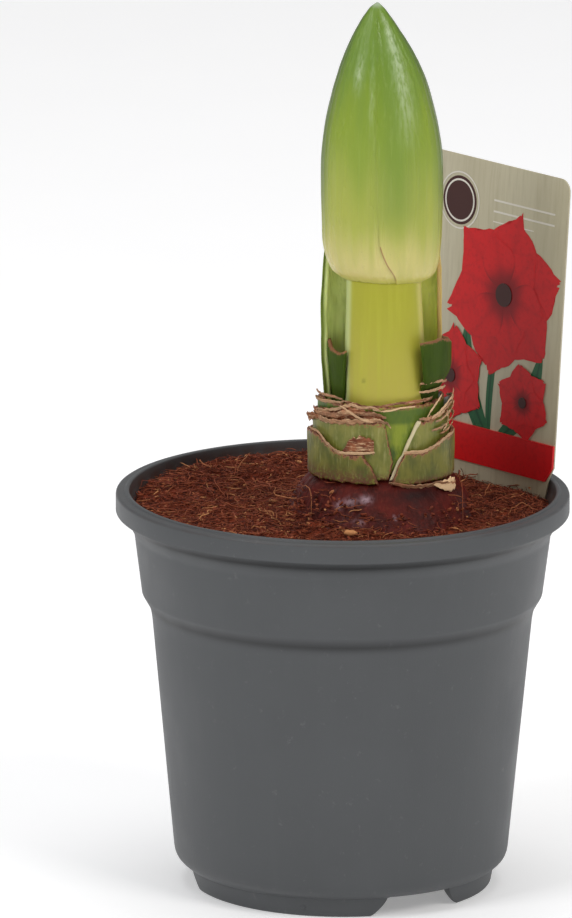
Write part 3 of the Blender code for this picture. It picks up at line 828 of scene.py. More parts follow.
def pot_corners():
    """Corners of the pot's wall: up the inside, over the rim, down the outside to the floor."""
    top = POT_HEIGHT - BEAD_HEIGHT
    height = POT_HEIGHT
    inside = [
        (1.0, FLOOR_TOP, 0),
        (WALL_BOTTOM_RADIUS - WALL, FLOOR_TOP, 1.6),
        (WALL_TOP_RADIUS - WALL, height - WALL_TOP_DEPTH - 0.4, 2.0),
        (BAND_BOTTOM_RADIUS - WALL, height - BAND_DEPTH + 0.2, 1.5),
        (BAND_TOP_RADIUS - WALL, height - LIP_SLOPE_DEPTH, 1.5),
        (RIM_INNER, height - 3.0, 1.2),
        (RIM_INNER, height, 0.5),
        (RIM_INNER + 1.0, height, 0.4),
        (RIM_INNER + 1.3, top, 0.25),
    ]
    outside = [
        (RIM_RADIUS, top, 0.9),
        (RIM_RADIUS, height - LIP_DEPTH, 0.35),
        (BAND_TOP_RADIUS + 1.6, height - LIP_SLOPE_DEPTH + 2.6, 1.4),
        (BAND_TOP_RADIUS, height - LIP_SLOPE_DEPTH - 0.4, 0.8),
        (BAND_BOTTOM_RADIUS, height - BAND_DEPTH, 0.4),
        (WALL_TOP_RADIUS + 0.5, height - WALL_TOP_DEPTH + 1.2, 1.2),
        (WALL_TOP_RADIUS, height - WALL_TOP_DEPTH - 1.5, 1.2),
        (WALL_BOTTOM_RADIUS, WALL_BOTTOM_HEIGHT, 2.2),
        (WALL_BOTTOM_RADIUS - 2.6, FLOOR_HEIGHT, 0.8),
        (FOOT_RADIUS, FLOOR_HEIGHT - 0.2, 0.2),
        (FOOT_RADIUS - 1.0, 0.0, 0.8),
        (FOOT_RADIUS - FOOT_WIDTH, 0.0, 0.6),
        (FOOT_RADIUS - FOOT_WIDTH, FLOOR_HEIGHT, 0.5),
        (1.0, FLOOR_HEIGHT, 0),
    ]
    return inside + outside


def facing(angle):
    """The level directions out of the pot and across, at an angle in degrees."""
    turn = math.radians(angle)
    out = np.array((math.sin(turn), -math.cos(turn), 0.0))
    return out, np.array((-out[1], out[0], 0.0))


def arch_shape(angle):
    """Block that cuts one arch out of the foot ring, wider and rounded at the ground."""
    heights = np.linspace(0, FLOOR_HEIGHT + 0.15, 10)
    widths = ARCH_HALF_WIDTH + ARCH_FLARE * (1 - heights / heights[-1]) ** 1.6
    outline = mirrored([(ARCH_HALF_WIDTH + ARCH_FLARE, -1.0), *zip(widths, heights)])
    out, across = facing(angle)
    ends = [[out * reach + across * x + np.array((0, 0, z)) for x, z in outline]
            for reach in (FOOT_RADIUS - 2.2 * FOOT_WIDTH, FOOT_RADIUS + 1.4 * FOOT_WIDTH)]
    return *prism(*ends), {}


def drain_shape(number):
    """Block that cuts one drain hole."""
    out, _ = facing((number + 0.5) * 360 / DRAIN_COUNT)
    heights = np.array((FLOOR_HEIGHT - 2, FLOOR_TOP + 2))[:, None]
    return closed_skin(around(whole_turn(DRAIN_STEPS), DRAIN_RADIUS, heights, centre=out[:2] * DRAIN_CIRCLE))


def mould_dot():
    """The small round witness mark on the front foot."""
    out, across = facing(MOULD_DOT_ANGLE)
    centre = out * (FOOT_RADIUS - 0.6) + np.array((0.0, 0.0, MOULD_DOT_HEIGHT))
    turns = np.linspace(0, 2 * np.pi, 16, endpoint=False)[:, None]
    rim = across * np.cos(turns) + np.array((0, 0, 1.0)) * np.sin(turns)
    rings = [centre + out * lift + rim * radius for radius, lift in ((0.7, -0.3), (0.7, 0.1), (0.45, 0.3))]
    return closed_skin(np.array(rings))


def make_pot(settings):
    """The moulded pot, its feet, drain holes and mould mark."""
    outline = rounded(pot_corners())
    height = outline[:, 1:]
    rings = around(whole_turn(settings.steps), outline[:, :1], height, centre=(0, 0))
    material = pot_plastic(settings)
    # Painted shade where the lip's underside and the band step lie in shadow
    lip = hump(height, POT_HEIGHT - LIP_DEPTH - 1.4, 1.6) * (height < POT_HEIGHT - LIP_DEPTH + 0.1)
    step = 0.7 * hump(height, POT_HEIGHT - BAND_DEPTH - 2.6, 1.5) * (height < POT_HEIGHT - BAND_DEPTH)
    inside = np.arange(len(outline))[:, None] < np.argmax(outline[:, 0])
    fields = {"groove": np.where(inside, 0.0, 0.95 * lip + step),
              "inside": inside * smooth(POT_HEIGHT, POT_HEIGHT - 3.0, height)}
    pot = new_piece("grow_pot", material, *closed_skin(rings, fields))
    shapes = [arch_shape(angle) for angle in ARCH_ANGLES]
    shapes += [drain_shape(number) for number in range(DRAIN_COUNT)]
    carve(pot, new_piece("pot_cutters", material, *joined(shapes)))
    pot.data.shade_smooth()
    pot.data.set_sharp_from_angle(angle=math.radians(32))
    finish_piece(pot, "pot_plastic", "pot")
    finish_piece(new_piece("mould_mark", material, *mould_dot()), "pot_plastic")


# Growing medium

def medium_height(x, y, lump):
    """Height of the coir's surface, in millimetres, at a place."""
    reach = np.hypot(x - PLANT_X, y - PLANT_Y) / MEDIUM_MOUND_RADIUS
    height = MEDIUM_EDGE_HEIGHT + MEDIUM_MOUND * (1 - smooth(0.45, 1.0, reach))
    height = height + 1.6 * hump(reach, 0.6, 0.22) * smooth(4.0, -16.0, x - PLANT_X)
    height = height + 2.4 * smooth(24.0, 50.0, y - 0.5 * x)
    places = xyz(x, y, 0.0)
    rough = wobble(places, 11.0, 3, 1) + 0.55 * wobble(places, 3.2, 3, 2)
    edge = smooth(46.0, 55.0, np.hypot(x, y))
    return height + lump * rough * (1 - 0.25 * edge) - 0.2 * edge


def make_coir_bed(settings):
    """The coir's lumpy surface over the solid that fills the pot."""
    radii = np.concatenate([np.linspace(0.4, MEDIUM_EDGE_RADIUS, MEDIUM_RINGS), [MEDIUM_EDGE_RADIUS + 0.05]])
    angles = whole_turn(MEDIUM_COLUMNS)
    top = around(angles, radii[:, None], 0.0, centre=(0, 0))
    top[..., 2] = medium_height(top[..., 0], top[..., 1], settings.lump_height / MM)
    top[-1, :, 2] -= 1.2
    side = [
        (BAND_TOP_RADIUS - WALL - 0.4, POT_HEIGHT - LIP_SLOPE_DEPTH),
        (BAND_BOTTOM_RADIUS - WALL - 0.5, POT_HEIGHT - BAND_DEPTH),
        (WALL_TOP_RADIUS - WALL - 0.5, POT_HEIGHT - WALL_TOP_DEPTH),
        (WALL_BOTTOM_RADIUS - WALL - 0.6, FLOOR_TOP + 1.8),
        (WALL_BOTTOM_RADIUS - WALL - 2.0, FLOOR_TOP + 0.4),
    ]
    lower = [around(angles, radius, height, centre=(0, 0)) for radius, height in side]
    rings = np.concatenate([top, np.array(lower)])
    bed = new_piece("coir_bed", coir_ground(settings), *closed_skin(rings))
    finish_piece(bed, "coir", "growing_medium")


class StrewingTree(NodeBuilder):
    """A geometry node tree with named inputs."""

    def __init__(self, name, numbers):
        super().__init__(bpy.data.node_groups.new(name, "GeometryNodeTree"))
        new_socket = self.tree.interface.new_socket
        for way in ("INPUT", "OUTPUT"):
            new_socket("Geometry", in_out=way, socket_type="NodeSocketGeometry")
        kinds = {"Points": "Int", "Seed": "Int", "Material": "Material"}
        self.identifiers = {
            key: new_socket(key, socket_type="NodeSocket" + kinds.get(key, "Float")).identifier
            for key in (*numbers, "Seed", "Material")}
        self.source = self.tree.nodes.new("NodeGroupInput").outputs
        self.result = self.tree.nodes.new("NodeGroupOutput").inputs

    def step(self, kind, inputs=None, **settings):
        """Add a geometry node and give what comes out of it first."""
        return self.node("GeometryNode" + kind, inputs, **settings).outputs[0]

    def turned(self, kind, inputs, **settings):
        """Add a rotation node and give its rotation."""
        return self.node("FunctionNode" + kind, inputs, **settings).outputs[0]

    def vector(self, operation, first, second):
        """One vector sum."""
        return self.node("ShaderNodeVectorMath", {0: first, 1: second}, operation=operation).outputs[0]

    def scaled(self, vector, factor):
        """A vector times a number."""
        return self.node("ShaderNodeVectorMath", {0: vector, "Scale": factor}, operation="SCALE").outputs[0]

    def combined(self, **axes):
        """A vector from its X, Y and Z."""
        return self.node("ShaderNodeCombineXYZ", axes).outputs[0]

    def random(self, low, high, seed):
        """A random number for each point or instance."""
        made = self.node("FunctionNodeRandomValue", {2: low, 3: high, "Seed": seed}, data_type="FLOAT")
        return made.outputs[1]

    def named(self, name):
        """One of the mesh's own fields."""
        return self.step("InputNamedAttribute", {"Name": name}, data_type="FLOAT")

    def noise(self, place, scale):
        """A noise colour at a place."""
        return self.node("ShaderNodeTexNoise", {
            "Vector": place, "Scale": scale, "Detail": 1.0}).outputs["Color"]

    def moved(self, geometry, offset):
        """Geometry moved by an offset, then pulled in to the limit from the pot's axis."""
        geometry = self.step("SetPosition", {"Geometry": geometry, "Offset": offset})
        place = self.step("InputPosition")
        flat = self.vector("MULTIPLY", place, (1, 1, 0))
        reach = self.node("ShaderNodeVectorMath", {0: flat}, operation="LENGTH").outputs["Value"]
        share = self.math("DIVIDE", self.source["Limit"], self.math("MAXIMUM", reach, 0.001))
        share = self.math("MINIMUM", share, 1.0)
        pulled = self.vector("MULTIPLY", place, self.combined(X=share, Y=share, Z=1.0))
        return self.step("SetPosition", {"Geometry": geometry, "Position": pulled})

    def scatter(self, shape):
        """Points on the surface that carry a turned and scaled shape each, with its own shade."""
        source = self.source
        area = self.node("GeometryNodeAttributeStatistic", {
            "Geometry": source["Geometry"], "Attribute": self.step("InputMeshFaceArea")},
            domain="FACE").outputs["Sum"]
        density = self.times(self.math("DIVIDE", source["Count"], area), self.named("litter"))
        points = self.step("DistributePointsOnFaces", {
            "Mesh": source["Geometry"], "Density": density, "Seed": source["Seed"]})
        lean = self.combined(X=self.random(-0.5, 0.5, 11), Y=self.random(-0.5, 0.5, 12))
        lean = self.turned("EulerToRotation", {0: self.scaled(lean, source["Tilt"])})
        spin = self.turned("EulerToRotation", {0: self.combined(Z=self.random(0.0, math.tau, 13))})
        rotation = self.turned(
            "RotateRotation", {"Rotation": lean, "Rotate By": spin}, rotation_space="LOCAL")
        placed = self.step("InstanceOnPoints", {
            "Points": points, "Instance": shape, "Rotation": rotation,
            "Scale": self.random(0.45, 1.25, 14)})
        shaded = self.step("StoreNamedAttribute", {
            "Geometry": placed, "Name": "shade", "Value": self.random(0.0, 1.0, 15)},
            data_type="FLOAT", domain="INSTANCE")
        return self.step("RealizeInstances", {0: shaded})

    def ended(self, geometry):
        """The tree, which ends in plain geometry with its material."""
        whole = self.step("RealizeInstances", {0: geometry})
        done = self.step("SetMaterial", {"Geometry": whole, "Material": self.source["Material"]})
        self.tree.links.new(done, self.result[0])
        return self


def fibre_tree():
    """Nodes that strew curly fibres over a surface."""
    build = StrewingTree("strewn_fibres", (
        "Count", "Length", "Radius", "Points", "Curl", "Curl Size", "Tilt", "Lift", "Limit"))
    source = build.source
    half = build.times(source["Length"], 0.5)
    line = build.step("CurvePrimitiveLine", {
        "Start": build.combined(X=build.times(half, -1.0)), "End": build.combined(X=half)})
    fibres = build.scatter(build.step("ResampleCurve", {"Curve": line, "Count": source["Points"]}))
    shade = build.named("shade")
    place = build.vector("ADD", build.step("InputPosition"), build.combined(Z=build.times(shade, 9.0)))
    curl = build.noise(place, build.math("DIVIDE", 1.0, source["Curl Size"]))
    bend = build.vector("SUBTRACT", curl, (0.5, 0.5, 0.42))
    bend = build.scaled(build.vector("MULTIPLY", bend, (1.0, 1.0, 0.55)), source["Curl"])
    fibres = build.moved(fibres, build.vector("ADD", bend, build.combined(Z=source["Lift"])))
    along = build.step("SplineParameter")
    middle = build.math("ABSOLUTE", build.math("SUBTRACT", build.times(along, 2.0), 1.0))
    taper = build.math("SUBTRACT", 1.1, build.math("POWER", middle, 4.0))
    width = build.times(taper, build.math("ADD", 0.6, shade))
    section = build.step("CurvePrimitiveCircle", {"Resolution": 3, "Radius": 1.0})
    return build.ended(build.step("CurveToMesh", {
        "Curve": fibres, "Profile Curve": section, "Fill Caps": True,
        "Scale": build.times(width, source["Radius"])}))


def crumb_tree():
    """Nodes that strew uneven crumbs over a surface."""
    build = StrewingTree("strewn_crumbs", ("Count", "Radius", "Tilt", "Limit"))
    radius = build.source["Radius"]
    ball = build.step("MeshIcoSphere", {"Radius": radius, "Subdivisions": 1})
    crumbs = build.scatter(build.step("Transform", {"Geometry": ball, "Scale": (1.5, 0.8, 0.6)}))
    rough = build.noise(build.step("InputPosition"), 900.0)
    push = build.scaled(build.vector("SUBTRACT", rough, (0.5, 0.5, 0.5)), radius)
    return build.ended(build.moved(crumbs, push))


def from_bulb(x, y):
    """How far a place is from the bulb's axis, on the bulb's slightly flattened rings."""
    return np.hypot(x - PLANT_X, (y - PLANT_Y) / BULB_FLATNESS)


def litter_height(x, y, lump):
    """Height of what the litter lies on: the coir, or the bulb's flank where that is higher."""
    radii, heights = zip(*BULB_OUTLINE[3:8])
    return np.maximum(medium_height(x, y, lump), np.interp(from_bulb(x, y), radii, heights, right=0))


# Pale strands that lie across the coir: places (x, y, rise) along each
STRANDS = (
    ((-40, 49, 0.6), (-39, 40, 1.6), (-38, 32, 0.6)),
    ((-27, 48, 0.6), (-28, 38, 2.0), (-29, 28, 0.6)),
    ((-24, 46, 0.6), (-26, 38, 2.4), (-28, 30, 0.6)),
    ((-33, 6, 0.4), (-29, 4, 1.4), (-24, 2, 1.6), (-20, 3, 0.5)),
    ((-33, 2, 0.4), (-28, -3, 1.2), (-24, -2, 0.4)),
    ((-20, 10, 0.5), (-17, 11, 1.4), (-14, 9, 0.6)),
    ((-35, 27, 0.5), (-33, 17, 1.5), (-31, 7, 0.5)),
    ((-51, 17, 0.4), (-48, 18, 1.2), (-44, 16, 0.4)),
    ((-11, -15, 0.5), (-9, -20, 1.4), (-8, -26, 0.5)),
    ((-31, -7, 0.4), (-29, -12, 1.4), (-27, -18, 0.4)),
    ((33, 14, 1.6), (31, 0, 2.8), (31, -13, 1.8), (32, -26, 0.6)),
    ((37, 11, 0.4), (40, 18, 2.2), (43, 22, 1.0)),
    ((38, 0, 0.4), (42, 4, 1.6), (47, 5, 2.0), (53, 3, 0.7)),
    ((37, 13, 0.4), (41, 12, 1.4), (45, 17, 0.5)),
    ((43, -9, 0.4), (47, 0, 1.8), (51, -2, 0.6)),
    ((34, 36, 0.5), (35, 29, 1.6), (36, 23, 0.5)),
)
STRAND_RADIUS = 0.13
CHIP_PLACE = (2.0, -37.5)


def strand_shape(path, lump, seed):
    """Points, faces and fields of one strand that lies along a path over the coir."""
    x, y, rise = np.array(path, float).T
    knots = np.arange(len(x))
    along = np.linspace(0, knots[-1], 10 * len(x))
    x, y, rise = (curve_through(knots, values, along) for values in (x, y, rise))
    x = x + 0.7 * wobble(xyz(x, y, rise), 5.0, 2, seed)
    middle = xyz(x, y, litter_height(x, y, lump) + rise)
    forward = np.gradient(middle, axis=0)
    side = np.cross(forward, (0.0, 0.0, 1.0))
    side /= np.linalg.norm(side, axis=1, keepdims=True)
    upward = np.cross(side, forward)
    upward /= np.linalg.norm(upward, axis=1, keepdims=True)
    turns = np.linspace(0, math.tau, 6, endpoint=False)[None, :, None]
    width = STRAND_RADIUS * (1.05 - np.abs(2 * along / knots[-1] - 1) ** 3)
    circle_points = side[:, None] * np.cos(turns) + upward[:, None] * np.sin(turns)
    shade = 0.72 + 0.12 * (seed % 3)
    return closed_skin(middle[:, None] + width[:, None, None] * circle_points, {"shade": shade})


def chip_shape(lump):
    """Points, faces and fields of the one pale chip of husk near the rim."""
    tilt = np.radians(np.linspace(12, 168, 9))[:, None]
    turn = np.linspace(0, math.tau, 14, endpoint=False)[None, :]
    ball = xyz(1.7 * np.sin(tilt) * np.cos(turn), 1.2 * np.sin(tilt) * np.sin(turn), 0.9 * np.cos(tilt))
    ball = ball * (1 + 0.3 * wobble(ball, 1.2, 2, 77))[..., None]
    x, y = CHIP_PLACE
    base = litter_height(np.array(x), np.array(y), lump)
    return closed_skin(ball + np.array((x, y, base + 0.7)), {"shade": 1.0})


def strewn(name, build, surface, **values):
    """A piece made by a tree on a copy of a surface."""
    obj = add_object(name, surface.copy())
    modifier = obj.modifiers.new("strew", "NODES")
    modifier.node_group = build.tree
    for key, value in values.items():
        modifier[build.identifiers[key.replace("_", " ")]] = value
    bake_modifiers(obj)
    return obj


def litter_surface(lump):
    """The coir's top and the bulb's flank as an open grid, with a field that says where litter may lie."""
    side = np.arange(-LITTER_HALF_SIDE, LITTER_HALF_SIDE + LITTER_STEP, LITTER_STEP)
    x, y = np.meshgrid(side, side)
    places = np.stack([x, y, litter_height(x, y, lump)], axis=-1)
    left = smooth(2.0, -14.0, x - PLANT_X)
    bulb = from_bulb(x, y) + 2.2 * wobble(places, 4.0, 2, 9)
    litter = (1 - smooth(54.0, 55.5, np.hypot(x, y))) * smooth(22.5 - 2.5 * left, 26.0, bulb)
    faces = grid_faces(len(side), len(side), False)
    return new_mesh("litter_surface", places.reshape(-1, 3), faces, {"litter": litter})


def make_coir_litter(settings):
    """Fibres, crumbs and strands strewn over the coir."""
    lump = settings.lump_height / MM
    surface = litter_surface(lump)
    fibres = fibre_tree()
    shared = {"Limit": (MEDIUM_EDGE_RADIUS + 0.1) * MM, "Material": coir_fibre(settings)}
    pieces = [
        strewn("coir_fibres", fibres, surface, Count=float(settings.fibre_count),
               Length=settings.fibre_length, Radius=settings.fibre_radius, Points=6, Curl=5.0 * MM,
               Curl_Size=4.0 * MM, Tilt=0.5, Lift=0.25 * MM, Seed=3, **shared),
        strewn("coir_loose_fibres", fibres, surface, Count=float(settings.long_count),
               Length=settings.long_length, Radius=settings.long_radius, Points=16, Curl=9.0 * MM,
               Curl_Size=7.0 * MM, Tilt=0.25, Lift=0.7 * MM, Seed=8, **shared),
        strewn("coir_crumbs", crumb_tree(), surface, Count=float(settings.crumb_count),
               Radius=settings.crumb_size, Tilt=2.0, Seed=5, **shared),
    ]
    parts = [strand_shape(path, lump, 30 + seed) for seed, path in enumerate(STRANDS)]
    pieces.append(new_piece("coir_strands", shared["Material"], *joined(parts + [chip_shape(lump)])))
    for piece in pieces:
        finish_piece(piece, "coir")


# Bulb

# Painted highlights on the bulb's tunic, pale patches where it glints: angle, height, half width in degrees,
# half height, strength
PAINTED_HIGHLIGHTS = (
    (-11, 110.8, 4.0, 0.8, 1.0), (-22, 110.2, 4.0, 0.9, 0.6), (-30, 109.2, 3.5, 1.0, 0.6),
    (-14, 105.6, 4.0, 0.7, 0.5), (9, 106.8, 0.8, 0.3, 0.9), (13, 107.2, 0.8, 0.3, 0.9),
)


def make_bulb(settings):
    """The bulb with its ridged tunic."""
    corners = [(radius, height, 3.0 if 0 < i < len(BULB_OUTLINE) - 1 else 0)
               for i, (radius, height) in enumerate(BULB_OUTLINE)]
    outline = rounded(corners, 7)[1:-1]
    angles = np.linspace(-180, 180, BULB_COLUMNS, endpoint=False)[None, :]
    radii, heights = outline[:, :1], outline[:, 1:]
    flat = 1 + (NECK_FLATNESS - 1) * smooth(103.0, 112.0, heights)
    rings = around(angles, radii, heights, flat)
    squeezed = rings * np.array((1, 1, 0.15))
    relief = settings.ridge / MM * (0.6 * wobble(squeezed, 2.2, 2, 4) + wobble(rings, 9.0, 2, 5))
    relief = relief * smooth(2.0, 10.0, radii)
    outward = (rings[..., :2] - np.array((PLANT_X, PLANT_Y))) / np.maximum(radii[..., None], 1)
    rings[..., :2] += outward * relief[..., None]
    # Painted highlights at the listed places
    pale = sum(share * hump(angles, angle, width) * hump(heights, height, depth)
               for angle, height, width, depth, share in PAINTED_HIGHLIGHTS)
    # Painted shadow under the bottom curl, beside the painted highlights
    fields = {"pale": pale, "hollow": 0.85 * hump(angles, 30, 22) * hump(heights, 111.5, 1.8)}
    bulb = new_piece("bulb_body", bulb_tunic(settings), *closed_skin(rings, fields))
    finish_piece(bulb, "bulb_tunic", "bulb")


# Sheaths and leaves

class Wrap(NamedTuple):
    """A sheath or leaf wrapped round the plant.

    The edges are pairs of height and angle, the top is pairs of angle and height. The radius
    grows by flare[2] between the heights flare[0] and flare[1].
    """

    radius: float
    thickness: float
    flare: tuple
    bottom: float
    left: tuple
    right: tuple
    top: tuple
    columns: int
    rows: int


# A radian in degrees, rounded, for the places that the torn edges take their noise from
RADIAN = 57.3


def wrap_grid(wrap, ragged, seed):
    """Middle points of a wrap, and how far each lies from its top and side edges."""
    across, up = field(wrap.columns, wrap.rows)
    left_top = table(wrap.top, wrap.left[-1][1])
    right_top = table(wrap.top, wrap.right[-1][1])
    left = table(wrap.left, wrap.bottom + (left_top - wrap.bottom) * up)
    right = table(wrap.right, wrap.bottom + (right_top - wrap.bottom) * up)
    angle = left + (right - left) * across
    top = table(wrap.top, angle)
    rim = xyz(angle * wrap.radius / RADIAN, 0.0, 0.0)
    top = top + ragged * (0.6 * wobble(rim, 1.6, 3, seed) + 0.5 * wobble(rim, 5.0, 2, seed + 1))
    foot = wrap.bottom + 0.5 * ragged * wobble(rim, 1.4, 3, seed + 2)
    height = foot + (top - foot) * up
    radius = wrap.radius + wrap.flare[2] * smooth(wrap.flare[0], wrap.flare[1], height)
    middle = around(angle, radius, height, NECK_FLATNESS)
    waves = 0.22 * wobble(middle * np.array((1, 1, 0.5)), 5.0, 2, seed + 3)
    middle = around(angle, radius + waves, height, NECK_FLATNESS)
    scale = np.radians(1) * wrap.radius
    return middle, top - height, (angle - left) * scale, (right - angle) * scale


# For a wrap that keeps its radius at every height
NO_FLARE = (112, 116, 0.0)
SHEATHS = {
    "sheath_outer_left": Wrap(
        OUTER_RING, SHEATH_THICKNESS, NO_FLARE, 114.5,
        ((114, -184), (127, -184)),
        ((114.5, -1.7), (118.9, -7.3), (121.8, -13.8)),
        ((-184, 123), (-110, 125.4), (-73, 126.7), (-58, 126.5), (-52, 125.2), (-45, 123.7),
         (-37, 122.4), (-14, 122.3)),
        300, 34),
    "sheath_outer_right": Wrap(
        OUTER_RING, SHEATH_THICKNESS, NO_FLARE, 114.3,
        ((114.5, 7.9), (119.1, 13.5), (122.8, 19.7)),
        ((114, 171), (126, 171)),
        ((19, 122.9), (34.5, 122.8), (46.6, 124.0), (58.5, 125.6), (75, 125.9), (100, 126.0), (171, 123.5)),
        280, 34),
    "sheath_middle_left": Wrap(
        MIDDLE_RING, SHEATH_THICKNESS, NO_FLARE, 115.4,
        ((114, -150), (132, -150)),
        ((115.0, 6.0), (120.2, 10.2), (126.2, 5.8), (130.5, 3.1)),
        ((-150, 127), (-76, 130.8), (-34, 131.0), (6, 131.0)),
        260, 48),
    "sheath_middle_right": Wrap(
        MIDDLE_RING, SHEATH_THICKNESS, (128, 137, 1.2), 115.4,
        ((115.0, 6.3), (120.4, 13.8), (122.2, 18.2), (125.7, 23.3), (131.1, 32.8)),
        ((115, 150), (132, 150)),
        ((32, 131.2), (45.6, 131.0), (60, 132.0), (89.5, 134.6), (150, 130.0)),
        240, 52),
    "sheath_inner": Wrap(
        INNER_RING, SHEATH_THICKNESS, NO_FLARE, 116.6,
        ((115, -104), (135, -104)),
        ((115, 104), (135, 104)),
        ((-104, 134.2), (-90, 135.0), (-60, 135.2), (-36, 135.2), (0, 134.8), (30, 135.0), (104, 135.2)),
        260, 52),
}


# A distance so far from an edge that nothing there is dry
FAR = 9.0
# The side edge of a sheath that is dry too, and how much narrower than the top edge it is
DRY_SIDES = {
    "sheath_outer_left": ("right", 1.6),
    "sheath_outer_right": ("left", 2.2),
    "sheath_middle_left": ("right", 2.2),
}


def sheath_fields(name, middle, top, left, right):
    """Distances to a sheath's dry edges and to its pale torn edge, its shade and its foot."""
    height = middle[..., 2]
    edge = np.minimum(top, FAR)
    if name in DRY_SIDES:
        side, narrowing = DRY_SIDES[name]
        edge = np.minimum(edge, (left if side == "left" else right) * narrowing)
    # Height band of the inner sheath's painted shade, which is partly its deeper green
    band = smooth(129.6, 130.8, height) * smooth(134.6, 133.6, height)
    depth = 5.5 if name == "sheath_outer_left" else 2.4
    return {
        "edge": edge,
        "strip": np.minimum(left, FAR) if name == "sheath_middle_right" else FAR,
        "shade": 0.75 * band if name == "sheath_inner" else 0.0,
        "foot": smooth(depth, 0.0, height - SHEATHS[name].bottom),
    }


def make_sheaths(settings):
    """The living sheaths round the neck."""
    skins = {ring: sheath_skin(settings, ring) for ring in ("outer", "middle", "inner")}
    for seed, (name, wrap) in enumerate(SHEATHS.items()):
        middle, *distances = wrap_grid(wrap, settings.ragged / MM, 10 * seed)
        shape = sheet(middle, wrap.thickness, sheath_fields(name, middle, *distances))
        piece = new_piece("neck_" + name, skins[name.split("_")[1]], *shape)
        finish_piece(piece, "sheath", name)


class Scrap(NamedTuple):
    """A ribbon of dead tissue: (angle, height, lift, width) along it, its ring and its pale share."""

    ring: float
    path: tuple
    crumple: float
    pale: float
    lean: float


